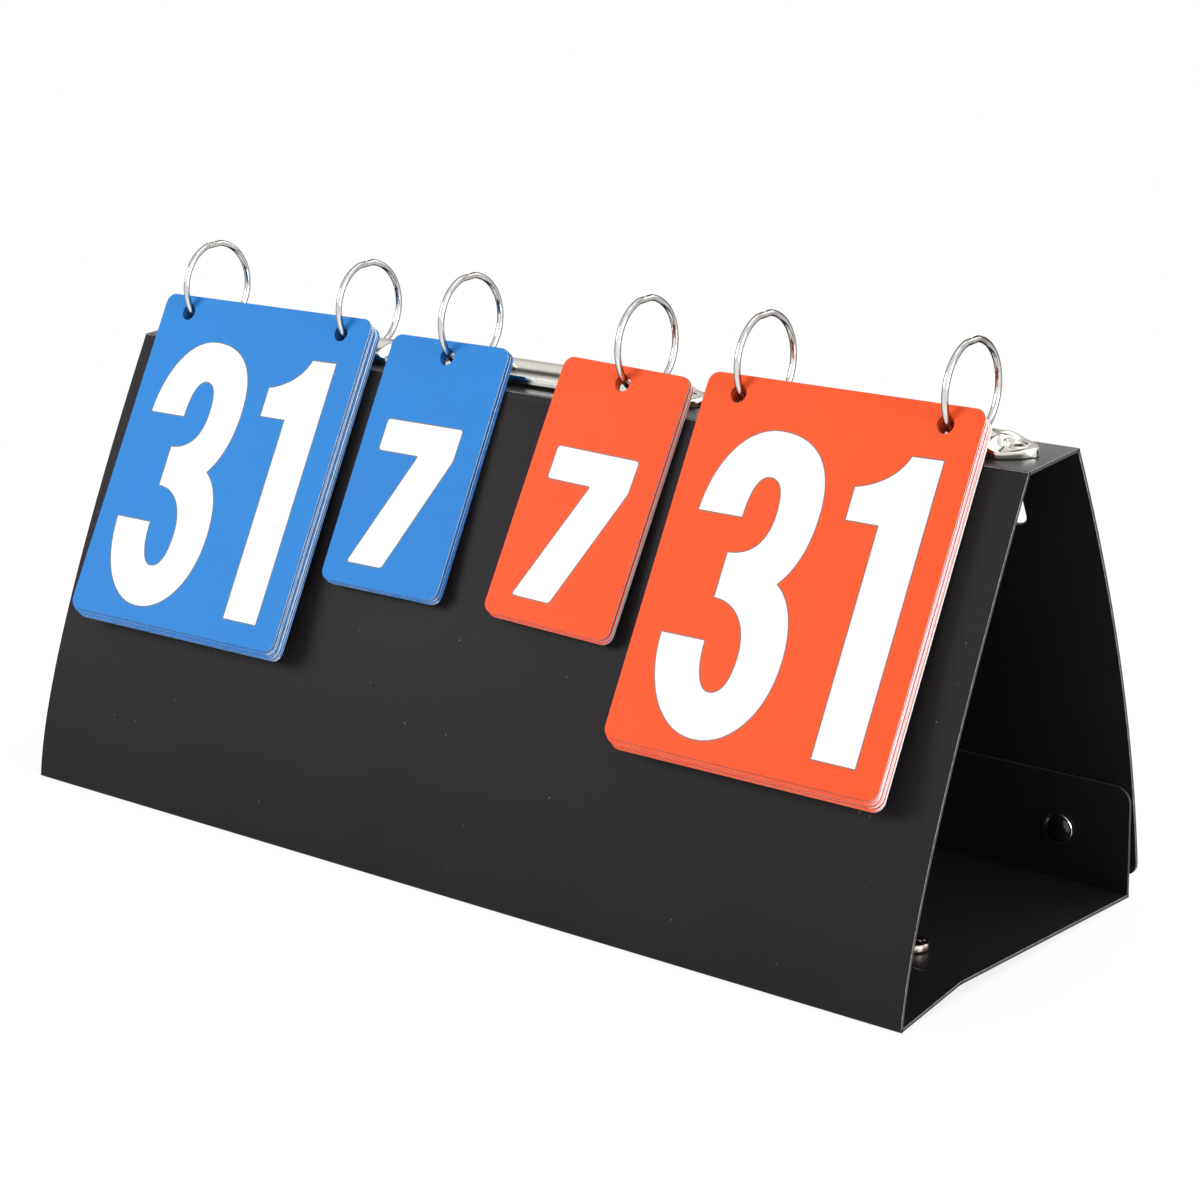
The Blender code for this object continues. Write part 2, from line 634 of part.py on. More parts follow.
def build_mechanisms(spine_frame, materials):
    cutter = plate_cutter_mesh()
    eyelet = eyelet_mesh()
    leaves = {side: leaf_mesh(side) for side in (-1, 1)}
    rings = {side: half_ring_mesh(side) for side in (-1, 1)}
    plate_shape = plate_mesh()
    for prefix, x in mechanism_places().items():
        frame = add_empty(f"{prefix}_mechanism", spine_frame, (x, 0.0, 0.0))
        plate = add_piece(f"{prefix}_cover_plate", plate_shape, materials["chrome"], frame)
        add_cutter(plate, cutter)
        for end, name in ((-1, "left"), (1, "right")):
            place = (end * EYELET_SPACING / 2, 0.0, 0.0)
            add_piece(f"{prefix}_{name}_eyelet", eyelet, materials["chrome"], frame, place)
        for side, name in ((-1, "front"), (1, "rear")):
            place = (0.0, side * hinge_reach(), LEAF_HINGE)
            hinge = add_empty(f"{prefix}_{name}_hinge", frame, place)
            add_piece(f"{prefix}_{name}_leaf", leaves[side], materials["leaf"], hinge, tilt=side * LEAF_SLOPE)
            for end, at in ((-1, "left"), (1, "right")):
                spot = (end * RING_PITCH / 2, 0.0, 0.0)
                add_piece(f"{prefix}_{at}_{name}_half_ring", rings[side], materials["chrome"], hinge, spot)


def tunnel_mesh(places):
    # Curved holes about the ring centre, so that a leaf can swing round the whole ring.
    bm = bmesh.new()
    for x in places:
        loops = []
        for step in range(10):
            turn = math.radians(2 + 5 * step)
            loop = []
            for across, out in circle_points(x, RING_RADIUS + HANG, HOLE_RADIUS, HOLE_SIDES):
                loop.append((across, -out * math.sin(turn), -out * math.cos(turn)))
            loops.append(loop)
        skin(bm, loops)
    return finish_mesh("ring_tunnel", bm)


def block_mesh(width, height, front, hole_drop, leaves, gauge):
    # A stack of leaves that swings as one, with a groove between each leaf and the next.
    # It is drawn from the ring centre, with its holes on the ring.
    depth = leaves * gauge + (leaves - 1) * GROOVE
    middle = front - depth / 2
    hole = math.sqrt((RING_RADIUS + HANG) ** 2 - middle**2)
    top = -hole + hole_drop
    loops = []
    y = -front
    for index in range(leaves):
        for inset, thickness in ((0.0, gauge), (GROOVE_DEPTH, GROOVE)):
            if inset and index == leaves - 1:
                continue
            outline = rounded_rectangle(
                width - 2 * inset, top - inset, top - height + inset, CARD_CORNER - inset, CARD_CORNER_STEPS
            )
            loops.append([(x, y, z) for x, z in outline])
            y += thickness
            loops.append([(x, y, z) for x, z in outline])
    bm = bmesh.new()
    skin(bm, loops)
    return finish_mesh("leaf_block", bm), front - depth


def build_packs(root, materials):
    left, right = mechanism_places()["left"], mechanism_places()["right"]
    inner = [MECHANISM_OFFSET + side * RING_PITCH / 2 for side in (-1, 1)]
    points = (POINTS_WIDTH, POINTS_HEIGHT, POINTS_FRONT, POINTS_HOLE_DROP)
    sets = (SETS_WIDTH, SETS_HEIGHT, SETS_FRONT, SETS_HOLE_DROP)
    both = (-RING_PITCH / 2, RING_PITCH / 2)
    for name, x, sizes, blocks, leaves, gauge, holes, colour in (
        ("blue_points", left, points, POINTS_BLOCK_COUNT, POINTS_LEAF_COUNT, POINTS_LEAF, both, "blue"),
        ("blue_sets", inner[0], sets, SETS_BLOCK_COUNT, SETS_LEAF_COUNT, SETS_LEAF, (0.0,), "blue"),
        ("red_sets", inner[1], sets, SETS_BLOCK_COUNT, SETS_LEAF_COUNT, SETS_LEAF, (0.0,), "red"),
        ("red_points", right, points, POINTS_BLOCK_COUNT, POINTS_LEAF_COUNT, POINTS_LEAF, both, "red"),
    ):
        width, height, front, hole_drop = sizes
        hang = add_empty(f"{name}_hang", root, (x, *RING_CENTRE), -CARD_LEAN)
        tunnel = tunnel_mesh(holes)
        mesh, rear = block_mesh(width, height, front, hole_drop, 1, CARD_GAUGE)
        card = add_piece(f"{name}_card", mesh, materials[colour], hang)
        add_cutter(card, tunnel)
        for number in range(1, blocks + 1):
            mesh, rear = block_mesh(width, height, rear - STACK_GAP, hole_drop, leaves, gauge)
            block = add_piece(f"{name}_leaves_{number}", mesh, materials[colour], hang)
            add_cutter(block, tunnel)


def centre_on_origin(root):
    # Puts the middle of the footprint on the origin and the lowest point on z = 0.
    bpy.context.view_layer.update()
    corners = [
        piece.matrix_world @ vert.co
        for piece in bpy.data.objects
        if piece.type == "MESH" and not piece.hide_render
        for vert in piece.data.vertices
    ]
    spans = [(min(point[axis] for point in corners), max(point[axis] for point in corners)) for axis in range(3)]
    root.location = (-sum(spans[0]) / 2, -sum(spans[1]) / 2, -spans[2][0])


def main():
    clear_scene()
    materials = make_materials()
    root = add_empty("scoreboard", None, (0.0, 0.0, 0.0))
    spine_frame = build_board(root, materials)
    build_mechanisms(spine_frame, materials)
    build_packs(root, materials)
    centre_on_origin(root)


main()
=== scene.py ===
import json
import math
import random

import bmesh
import bpy
from mathutils import Matrix, Vector

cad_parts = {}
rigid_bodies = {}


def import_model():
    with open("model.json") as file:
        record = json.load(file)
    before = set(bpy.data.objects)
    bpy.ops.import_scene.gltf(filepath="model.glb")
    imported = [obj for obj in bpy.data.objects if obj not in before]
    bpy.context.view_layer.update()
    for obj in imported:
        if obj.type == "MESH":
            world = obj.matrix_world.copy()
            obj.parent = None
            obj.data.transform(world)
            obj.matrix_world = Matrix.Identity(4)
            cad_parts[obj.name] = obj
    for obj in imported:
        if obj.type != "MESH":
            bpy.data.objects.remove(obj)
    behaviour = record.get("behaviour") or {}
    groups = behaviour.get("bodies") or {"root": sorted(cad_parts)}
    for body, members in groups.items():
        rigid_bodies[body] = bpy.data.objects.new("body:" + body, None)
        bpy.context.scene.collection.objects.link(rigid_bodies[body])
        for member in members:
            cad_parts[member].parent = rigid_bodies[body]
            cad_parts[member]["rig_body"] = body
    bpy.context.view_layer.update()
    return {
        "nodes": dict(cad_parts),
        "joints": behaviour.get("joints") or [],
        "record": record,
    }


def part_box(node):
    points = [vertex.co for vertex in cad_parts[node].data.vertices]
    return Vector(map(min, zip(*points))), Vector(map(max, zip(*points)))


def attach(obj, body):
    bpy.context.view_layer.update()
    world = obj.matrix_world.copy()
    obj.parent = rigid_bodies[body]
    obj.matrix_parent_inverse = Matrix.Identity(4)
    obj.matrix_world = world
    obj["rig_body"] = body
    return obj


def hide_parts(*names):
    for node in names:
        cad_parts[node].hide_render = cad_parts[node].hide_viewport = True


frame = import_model()
mm = 0.001
hinges = {joint["name"]: Vector(joint["pos_m"]) for joint in frame["joints"]}
slotOf = {row["node"]: row["material_slot"] for row in frame["record"]["subparts"]}
print("frame loaded with", len(frame["nodes"]), "nodes")


def addNode(tree, kind, inputs=None, **options):
    # inputs names sockets, each with a value or with the output that feeds it.
    node = tree.nodes.new("ShaderNode" + kind)
    for option, value in options.items():
        setattr(node, option, value)
    for socket, value in (inputs or {}).items():
        if isinstance(value, bpy.types.NodeSocket):
            tree.links.new(value, node.inputs[socket])
        else:
            node.inputs[socket].default_value = value
    return node


def addMaths(tree, operation, first, second=0.0):
    return addNode(tree, "Math", {0: first, 1: second}, operation=operation).outputs[0]


def mixColours(tree, factor, first, second):
    return addNode(tree, "Mix", {"Factor": factor, 6: first, 7: second}, data_type="RGBA").outputs[2]


def newGroup(name, inputs, outputs):
    group = bpy.data.node_groups.new(name, "ShaderNodeTree")
    for way, labels in (("INPUT", inputs), ("OUTPUT", outputs)):
        for label in labels:
            group.interface.new_socket(name=label, in_out=way, socket_type="NodeSocketFloat")
    return group, group.nodes.new("NodeGroupInput"), group.nodes.new("NodeGroupOutput")


skin = {
    "grainShare": 0.45, "patchShare": 0.55, "grainNoise": (3.0, 0.6), "patchNoise": (5.0, 0.55),
    "toneSpan": (0.36, 0.64), "roughSpan": (0.34, 0.66), "bumpHeight": 0.2 * mm,
}


def addNoise(tree, place, scale, noise):
    detail, roughness = noise
    inputs = {"Vector": place, "Scale": scale, "Detail": detail, "Roughness": roughness}
    return addNode(tree, "TexNoise", inputs).outputs[0]


def buildGrainGroup():
    # Fine grain with broad cloudy patches, for the roughness, the bump and the tone of a skin.
    inputs, outputs = ("Grain Size", "Patch Size", "Smoothest", "Roughest"), ("Tone", "Roughness", "Height")
    group, given, made = newGroup("fineGrain", inputs, outputs)
    place = addNode(group, "TexCoord").outputs["Object"]
    grain = addNoise(group, place, given.outputs["Grain Size"], skin["grainNoise"])
    patch = addNoise(group, place, given.outputs["Patch Size"], skin["patchNoise"])
    fine = addMaths(group, "MULTIPLY", grain, skin["grainShare"])
    broad = addMaths(group, "MULTIPLY", patch, skin["patchShare"])
    mixed = addMaths(group, "ADD", fine, broad)
    low, high = skin["toneSpan"]
    spread = addNode(group, "MapRange", {"Value": mixed, "From Min": low, "From Max": high})
    low, high = skin["roughSpan"]
    rough = addNode(group, "MapRange", {
        "Value": mixed, "From Min": low, "From Max": high,
        "To Min": given.outputs["Smoothest"], "To Max": given.outputs["Roughest"],
    })
    group.links.new(spread.outputs[0], made.inputs["Tone"])
    group.links.new(rough.outputs[0], made.inputs["Roughness"])
    group.links.new(grain, made.inputs["Height"])
    return group


def buildSpeckGroup():
    # Scattered specks of dust, each a small round dot in its own cell.
    group, given, made = newGroup("dustSpecks", ("Cell Size", "Share", "Dot"), ("Mask",))
    place = addNode(group, "TexCoord").outputs["Object"]
    cells = addNode(group, "TexVoronoi", {"Vector": place, "Scale": given.outputs["Cell Size"]})
    chosen = addNode(group, "SeparateColor", {0: cells.outputs["Color"]})
    size = addMaths(group, "MULTIPLY", given.outputs["Dot"], chosen.outputs[2])
    dot = addMaths(group, "LESS_THAN", cells.outputs["Distance"], size)
    kept = addMaths(group, "LESS_THAN", chosen.outputs[0], given.outputs["Share"])
    faint = addMaths(group, "MULTIPLY", addMaths(group, "MULTIPLY", dot, kept), chosen.outputs[1])
    group.links.new(faint, made.inputs["Mask"])
    return group


grainGroup = buildGrainGroup()
speckGroup = buildSpeckGroup()


def addDust(tree, colour, look):
    inputs = dict(zip(("Cell Size", "Share", "Dot"), look["dust"]))
    specks = addNode(tree, "Group", inputs, node_tree=speckGroup)
    return mixColours(tree, specks.outputs["Mask"], colour, (*look["dustTone"], 1))


def paintReflections(tree, colour, look, cloud):
    # Painted dark reflections along bent metal, by how steeply it turns away: where, how wide and how strong,
    # and whether they come and go. They stand in for dark surroundings mirrored in the bent wire and plate.
    facing = addNode(tree, "LayerWeight", {"Blend": 0.5}).outputs["Facing"]
    for middle, spread, strength, broken in look["streaks"]:
        offset = addMaths(tree, "ABSOLUTE", addMaths(tree, "SUBTRACT", facing, middle))
        reach = {"From Min": 0.0, "From Max": spread, "To Min": strength, "To Max": 0.0}
        mask = addNode(tree, "MapRange", {"Value": offset, **reach}).outputs[0]
        if broken:
            mask = addMaths(tree, "MULTIPLY", mask, cloud)
        colour = mixColours(tree, mask, colour, (*look["streakTone"], 1))
    return colour


def makeFinish(name, look):
    # look holds two tones, the grain, the roughness range, and what else the finish has.
    material = bpy.data.materials.new(name)
    material.use_nodes = True
    tree = material.node_tree
    shader = tree.nodes["Principled BSDF"]
    skinInputs = {"Grain Size": look["grain"], "Patch Size": look["patch"]}
    skinInputs["Smoothest"], skinInputs["Roughest"] = look["rough"]
    grain = addNode(tree, "Group", skinInputs, node_tree=grainGroup)
    colour = mixColours(tree, grain.outputs["Tone"], (*look["dark"], 1), (*look["light"], 1))
    if "dust" in look:
        colour = addDust(tree, colour, look)
    if "streaks" in look:
        colour = paintReflections(tree, colour, look, grain.outputs["Tone"])
    height = grain.outputs["Height"]
    bump = addNode(tree, "Bump", {"Strength": look["bump"], "Distance": skin["bumpHeight"], "Height": height})
    tree.links.new(colour, shader.inputs["Base Color"])
    tree.links.new(grain.outputs["Roughness"], shader.inputs["Roughness"])
    tree.links.new(bump.outputs[0], shader.inputs["Normal"])
    for socket, value in look.get("shader", {}).items():
        shader.inputs[socket].default_value = value
    return material


# What several finishes share.
cutSheet = {"grain": 1400.0, "patch": 300.0, "rough": (0.5, 0.7), "bump": 0.3}
cutCard = {"grain": 800.0, "patch": 320.0, "rough": (0.5, 0.65), "bump": 0.1}
printedCard = {
    "grain": 1900.0, "patch": 35.0, "rough": (0.42, 0.52), "bump": 0.08,
    "shader": {"Specular IOR Level": 0.1},
}
keyline = {"grain": 1900.0, "patch": 60.0, "rough": (0.4, 0.5), "bump": 0.05}
metal = {"Metallic": 1.0}
finishes = {
    "sheetOutside": {
        "dark": (0.0168, 0.0147, 0.0161), "light": (0.0226, 0.02, 0.0219),
        "grain": 1700.0, "patch": 14.0, "rough": (0.4, 0.52), "bump": 0.16,
        "dust": (260.0, 0.2, 0.11), "dustTone": (0.16, 0.12, 0.12), "shader": {"Specular IOR Level": 0.06},
    },
    "spineOutside": {
        "dark": (0.016, 0.0145, 0.0145), "light": (0.0235, 0.0212, 0.0212),
        "grain": 1500.0, "patch": 18.0, "rough": (0.3, 0.42), "bump": 0.1,
        "dust": (260.0, 0.12, 0.1), "dustTone": (0.16, 0.15, 0.15), "shader": {"Specular IOR Level": 0.5},
    },
    "sheetInside": {
        "dark": (0.011, 0.0095, 0.0112), "light": (0.015, 0.0132, 0.0154),
        "grain": 1500.0, "patch": 10.0, "rough": (0.28, 0.4), "bump": 0.06,
        "dust": (240.0, 0.14, 0.09), "dustTone": (0.1, 0.1, 0.1), "shader": {"Specular IOR Level": 0.4},
    },
    "sheetEdge": {"dark": (0.012, 0.011, 0.012), "light": (0.035, 0.033, 0.035), **cutSheet},
    "sheetBurr": {
        "dark": (0.05, 0.048, 0.05), "light": (0.42, 0.4, 0.4),
        "grain": 1300.0, "patch": 360.0, "rough": (0.45, 0.65), "bump": 0.3,
    },
    # This dim edge finish is painted shade for the snap flap's cut edges, which lie inside the board.
    "innerEdge": {"dark": (0.012, 0.011, 0.012), "light": (0.03, 0.029, 0.03), **cutSheet},
    "blueCard": {"dark": (0.019, 0.217, 0.636), "light": (0.026, 0.243, 0.682), **printedCard},
    "redCard": {"dark": (0.945, 0.096, 0.02), "light": (0.99, 0.114, 0.029), **printedCard},
    "blueEdgePale": {"dark": (0.54, 0.76, 0.96), "light": (0.88, 0.96, 1.0), **cutCard},
    # The palest edge finish of each colour is painted bounce light from the floor on the cards' bottom edges.
    "blueEdgeLow": {"dark": (0.8, 0.92, 1.0), "light": (0.96, 0.99, 1.0), **cutCard},
    "blueEdgeMid": {"dark": (0.08, 0.22, 0.52), "light": (0.2, 0.4, 0.72), **cutCard},
    # The darkest edge finish of each colour is painted shade, for hole walls and for dark lines between the
    # blue leaves.
    "blueEdgeDark": {"dark": (0.02, 0.1, 0.36), "light": (0.06, 0.22, 0.58), **cutCard},
    "redEdgePale": {"dark": (0.98, 0.9, 0.9), "light": (1.0, 0.98, 0.98), **cutCard},
    "redEdgeLow": {"dark": (1.0, 0.94, 0.94), "light": (1.0, 1.0, 1.0), **cutCard},
    "redEdgeMid": {"dark": (0.97, 0.76, 0.75), "light": (1.0, 0.92, 0.91), **cutCard},
    "redEdgeDark": {"dark": (0.58, 0.07, 0.03), "light": (0.8, 0.14, 0.07), **cutCard},
    "whiteInk": {
        "dark": (0.91, 0.92, 0.92), "light": (0.95, 0.96, 0.96),
        "grain": 1900.0, "patch": 60.0, "rough": (0.38, 0.48), "bump": 0.06,
        "shader": {"Specular IOR Level": 0.22},
    },
    # The keylines are print on the digits. On the front cards' chamfers the same finish is a painted edge
    # shade.
    "blueKeyline": {"dark": (0.02, 0.07, 0.13), "light": (0.04, 0.11, 0.19), **keyline},
    "redKeyline": {"dark": (0.26, 0.055, 0.028), "light": (0.38, 0.085, 0.045), **keyline},
    # The streaks on both chromes are painted dark reflections, not marks on the metal.
    "wireChrome": {
        "dark": (0.62, 0.6, 0.585), "light": (0.9, 0.885, 0.865),
        "grain": 500.0, "patch": 120.0, "rough": (0.05, 0.13), "bump": 0.02,
        "streaks": ((0.85, 0.5, 2.0, False), (0.3, 0.18, 1.0, True)), "streakTone": (0.045, 0.035, 0.032),
        "shader": {"Specular Tint": (0.45, 0.43, 0.42, 1.0), **metal},
    },
    "plateChrome": {
        "dark": (0.66, 0.64, 0.59), "light": (0.8, 0.785, 0.74),
        "grain": 500.0, "patch": 60.0, "rough": (0.07, 0.16), "bump": 0.02,
        "streaks": ((1.0, 0.3, 1.6, False), (0.5, 0.07, 1.3, False)), "streakTone": (0.07, 0.065, 0.06),
        "shader": {"Specular Tint": (0.86, 0.84, 0.8, 1.0), **metal},
    },
    # The dark finish inside each eyelet's hole is painted shade in the recess, where the real metal
    # continues.
    "eyeletHole": {
        "dark": (0.012, 0.008, 0.007), "light": (0.03, 0.018, 0.014),
        "grain": 900.0, "patch": 200.0, "rough": (0.4, 0.6), "bump": 0.05,
    },
    "leafSteel": {
        "dark": (0.42, 0.42, 0.43), "light": (0.55, 0.55, 0.56),
        "grain": 900.0, "patch": 90.0, "rough": (0.25, 0.4), "bump": 0.05, "shader": metal,
    },
    "blackLacquer": {
        "dark": (0.006, 0.006, 0.006), "light": (0.01, 0.009, 0.01),
        "grain": 900.0, "patch": 120.0, "rough": (0.1, 0.2), "bump": 0.02, "shader": {"Coat Weight": 0.5},
    },
    # The bright metal on the caps' rims is a painted highlight for lamp glints on the black lacquer.
    "lacquerRim": {
        "dark": (0.5, 0.49, 0.49), "light": (0.88, 0.87, 0.86),
        "grain": 700.0, "patch": 260.0, "rough": (0.12, 0.26), "bump": 0.03, "shader": metal,
    },
    "snapMetal": {
        "dark": (0.42, 0.33, 0.3), "light": (0.66, 0.55, 0.51),
        "grain": 700.0, "patch": 200.0, "rough": (0.1, 0.22), "bump": 0.03, "shader": metal,
    },
}
finish = {name: makeFinish(name, look) for name, look in finishes.items()}
print("made", len(finish), "finishes")


def camelName(node):
    first, *others = node.split("_")
    return first + "".join(word.capitalize() for word in others)


def linkMesh(name, bm, materials):
    # Turns a finished bmesh into a smooth object at the origin.
    mesh = bpy.data.meshes.new(name)
    bm.to_mesh(mesh)
    bm.free()
    for material in materials:
        mesh.materials.append(material)
    mesh.shade_smooth()
    piece = bpy.data.objects.new(name, mesh)
    bpy.context.scene.collection.objects.link(piece)
    return piece


def placePiece(name, bm, body, slot, materials, spot=Matrix(), sharp=32.0, merge=1e-7):
    bmesh.ops.transform(bm, matrix=spot, verts=bm.verts[:])
    bmesh.ops.remove_doubles(bm, verts=bm.verts[:], dist=merge)
    bmesh.ops.recalc_face_normals(bm, faces=bm.faces[:])
    piece = linkMesh(name, bm, materials)
    piece.data.set_sharp_from_angle(angle=math.radians(sharp))
    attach(piece, body)
    return piece


def replaceNode(node, bm, materials, **options):
    body = frame["nodes"][node]["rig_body"]
    piece = placePiece(camelName(node), bm, body, slotOf[node], materials, **options)
    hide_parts(node)


def vertsOf(items):
    return [item for item in items if isinstance(item, bmesh.types.BMVert)]


def edgesOf(items):
    return [item for item in items if isinstance(item, bmesh.types.BMEdge)]


def addLoop(bm, x, y, width, height, radius, corners="all", steps=8):
    # A rectangle with all its corners rounded, or only those at its high end.
    made = bmesh.ops.create_grid(bm, x_segments=1, y_segments=1, size=0.5)["verts"]
    bmesh.ops.scale(bm, vec=(width, height, 1.0), verts=made)
    bmesh.ops.translate(bm, vec=(x, y, 0.0), verts=made)
    if radius:
        rounded = [vert for vert in made if corners == "all" or vert.co.y > y]
        bmesh.ops.bevel(
            bm, geom=rounded, offset=radius, offset_type="OFFSET", segments=steps, profile=0.5,
            affect="VERTICES", clamp_overlap=False, material=-1,
        )


def addHoles(bm, places, y, radius, segments):
    for x in places:
        spot = Matrix.Translation((x, y, 0.0))
        bmesh.ops.create_circle(bm, cap_ends=False, segments=segments, radius=radius, matrix=spot)


def fillSheet(bm, gauge, chamfer, slots):
    # Fills the loops drawn at z = 0, an outline and its holes, and gives the sheet its gauge and cut edges.
    lowSlot, highSlot, rimSlot, chamferSlot = slots
    bmesh.ops.delete(bm, geom=bm.faces[:], context="FACES_ONLY")
    bmesh.ops.triangle_fill(bm, use_beauty=True, use_dissolve=False, edges=bm.edges[:])
    flat = gauge / 2 - chamfer
    bmesh.ops.translate(bm, verts=bm.verts[:], vec=(0.0, 0.0, -flat))
    grown = bmesh.ops.extrude_face_region(bm, geom=bm.faces[:])["geom"]
    bmesh.ops.translate(bm, verts=vertsOf(grown), vec=(0.0, 0.0, 2 * flat))
    bmesh.ops.recalc_face_normals(bm, faces=bm.faces[:])
    lowFaces = [face for face in bm.faces if face.normal.z < -0.9]
    highFaces = [face for face in bm.faces if face.normal.z > 0.9]
    for face in bm.faces:
        face.material_index = rimSlot
    for slot, faces in ((lowSlot, lowFaces), (highSlot, highFaces)):
        if chamfer:
            cut = bmesh.ops.inset_region(
                bm, faces=faces, thickness=chamfer, depth=chamfer, use_even_offset=True, use_boundary=True
            )
            for face in cut["faces"]:
                face.material_index = chamferSlot
        for face in faces:
            face.material_index = slot


def endView(point):
    # The board's end view holds (y, z) points, and a path is a list of them.
    return Vector((point.y, point.z))


def climb(lean):
    # Unit vector that climbs and leans to the rear by so many degrees.
    return Vector((math.sin(math.radians(lean)), math.cos(math.radians(lean))))


def bowPath(top, foot, leans):
    # A bowed path between two points, leaning as given at its top and at its foot.
    down, up, across = -climb(leans[0]), climb(leans[1]), foot - top
    handle = top + down * ((across.x * up.y - across.y * up.x) / (down.x * up.y - down.y * up.x))
    shares = [step / board["bowSteps"] for step in range(board["bowSteps"] + 1)]
    return [top * (1 - t) ** 2 + handle * (2 * t * (1 - t)) + foot * t * t for t in shares]


def reachesOf(path):
    # How far along the path each of its points lies.
    reaches = [0.0]
    for a, b in zip(path, path[1:]):
        reaches.append(reaches[-1] + (b - a).length)
    return reaches


def offsetsOf(path):
    # The way that a point above the sheet's middle lies at each point, mitred at the bends.
    normals = [Vector((-(b - a).y, (b - a).x)).normalized() for a, b in zip(path, path[1:])]
    offsets = [normals[0]]
    for a, b in zip(normals, normals[1:]):
        middle = (a + b).normalized()
        offsets.append(middle / middle.dot(b))
    return offsets + [normals[-1]]


def alongPath(path, reach):
    # The point so far along the path, and the way that the path runs there.
    reaches = reachesOf(path)
    for index, (a, b) in enumerate(zip(path, path[1:])):
        if reaches[index] <= reach <= reaches[index + 1]:
            return a + (b - a).normalized() * (reach - reaches[index]), (b - a).normalized()


def reachAtHeight(path, height):
    # How far along a falling path it passes a height.
    reaches = reachesOf(path)
    for index, (a, b) in enumerate(zip(path, path[1:])):
        if a.y >= height >= b.y:
            return reaches[index] + (a.y - height) / (a.y - b.y) * (b - a).length


ringPitch = 80.0 * mm
eyeletReach = 57.0 * mm  # from the middle of a mechanism
mechanisms = {name: hinges[name + "_ring_open"].x for name in ("left", "middle", "right")}
ringPlaces = [x + side * ringPitch / 2 for x in mechanisms.values() for side in (-1, 1)]
eyeletPlaces = [x + side * eyeletReach for x in mechanisms.values() for side in (-1, 1)]

board = {
    "length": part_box("spine_strip")[1].x * 2, "gauge": 1.2 * mm, "chamfer": 0.14 * mm,
    "bowSteps": 30, "frontLeans": (27.0, 6.0), "backLeans": (-28.0, -8.0),
    "backFoot": (75.52 * mm, 6.01 * mm), "innerNose": 0.96, "noseSteps": 5, "noseSweep": math.radians(78.0),
    "scoreAlong": 2.6 * mm, "baseScoreAlong": 1.0 * mm, "scoreWide": 0.5 * mm, "scoreDeep": 0.07 * mm,
    "scoreCurve": 0.7, "scoredSkin": 0.45,  # the score presses what lies past this share of the gauge
    "slotWidth": 8.4 * mm, "slotStart": 8.0 * mm, "slotEnd": 35.3 * mm, "slotRound": 0.498,
    "backCorner": 5.0 * mm, "flapCorner": 6.0 * mm, "flapHeight": 40.0 * mm, "flapEdgeGap": 0.4 * mm,
    "snapInset": 27.4 * mm, "flapSnap": 19.5 * mm, "baseSnap": 15.0 * mm, "postHole": 1.8 * mm,
    "eyeletHole": 1.9 * mm, "holeSides": 20,
}


def bendSheet(bm, path, noses, scores):
    # Lays a flat sheet along a path. A crease at either end is a full round edge on its hinge axis.
    # scores are pressed lines: how far along, and how deep on the side of the sign.
    gauge, wide, lengthways = board["gauge"], board["scoreWide"], (0.0, 1.0, 0.0)
    reaches, offsets = reachesOf(path), offsetsOf(path)
    length = reaches[-1]
    stations = reaches[1:-1]
    for step in range(board["noseSteps"]):
        past = gauge / 2 * math.sin(board["noseSweep"] * step / board["noseSteps"])
        if noses[0]:
            stations.append(-past * noses[0])
        if noses[1]:
            stations.append(length + past * noses[1])
    for along, _ in scores:
        stations += [along - wide, along - wide / 2, along, along + wide / 2, along + wide]
    for station in stations:
        whole, place = bm.verts[:] + bm.edges[:] + bm.faces[:], (0.0, station, 0.0)
        bmesh.ops.bisect_plane(bm, geom=whole, dist=1e-7, plane_co=place, plane_no=lengthways)
    for vert in bm.verts:
        reach, depth = vert.co.y, vert.co.z
        for along, deep in scores:
            if depth * deep > 0 and abs(depth) > gauge * board["scoredSkin"]:
                depth -= deep * max(0.0, 1 - abs(reach - along) / wide) ** board["scoreCurve"]
        for past, nose in ((-reach, noses[0]), (reach - length, noses[1])):
            if nose:
                closeness = min(1.0, max(0.0, past / (gauge / 2 * nose)))
                depth *= math.sqrt(1 - closeness**2)
                if past > -1e-9:
                    depth *= nose
        index = 0
        while index < len(path) - 2 and reach > reaches[index + 1]:
            index += 1
        share = (reach - reaches[index]) / (reaches[index + 1] - reaches[index])
        near, far = path[index] + offsets[index] * depth, path[index + 1] + offsets[index + 1] * depth
        place = near.lerp(far, share)
        vert.co = (vert.co.x, place.x, place.y)


frontCrease, backCrease = endView(hinges["front_fold"]), endView(hinges["back_fold"])
footCrease, ridgeCrease, flapCrease = (
    endView(hinges[name]) for name in ("foot_unroll", "ridge_unroll", "flap_unroll")
)
frontPath = bowPath(frontCrease, footCrease, board["frontLeans"])
backPath = bowPath(backCrease, Vector(board["backFoot"]), board["backLeans"])
flapHigh = board["flapHeight"] + board["gauge"] / 2
besideEdge = alongPath(backPath, reachAtHeight(backPath, flapHigh))[0]
flapUp = (besideEdge - Vector((board["gauge"] + board["flapEdgeGap"], 0.0)) - flapCrease).normalized()
flapPath = [flapCrease, flapCrease + flapUp * board["flapHeight"]]
snapPlaces = [side * (board["length"] / 2 - board["snapInset"]) for side in (-1, 1)]
backSnapReach = reachAtHeight(backPath, footCrease.y + board["flapSnap"] * flapUp.y)


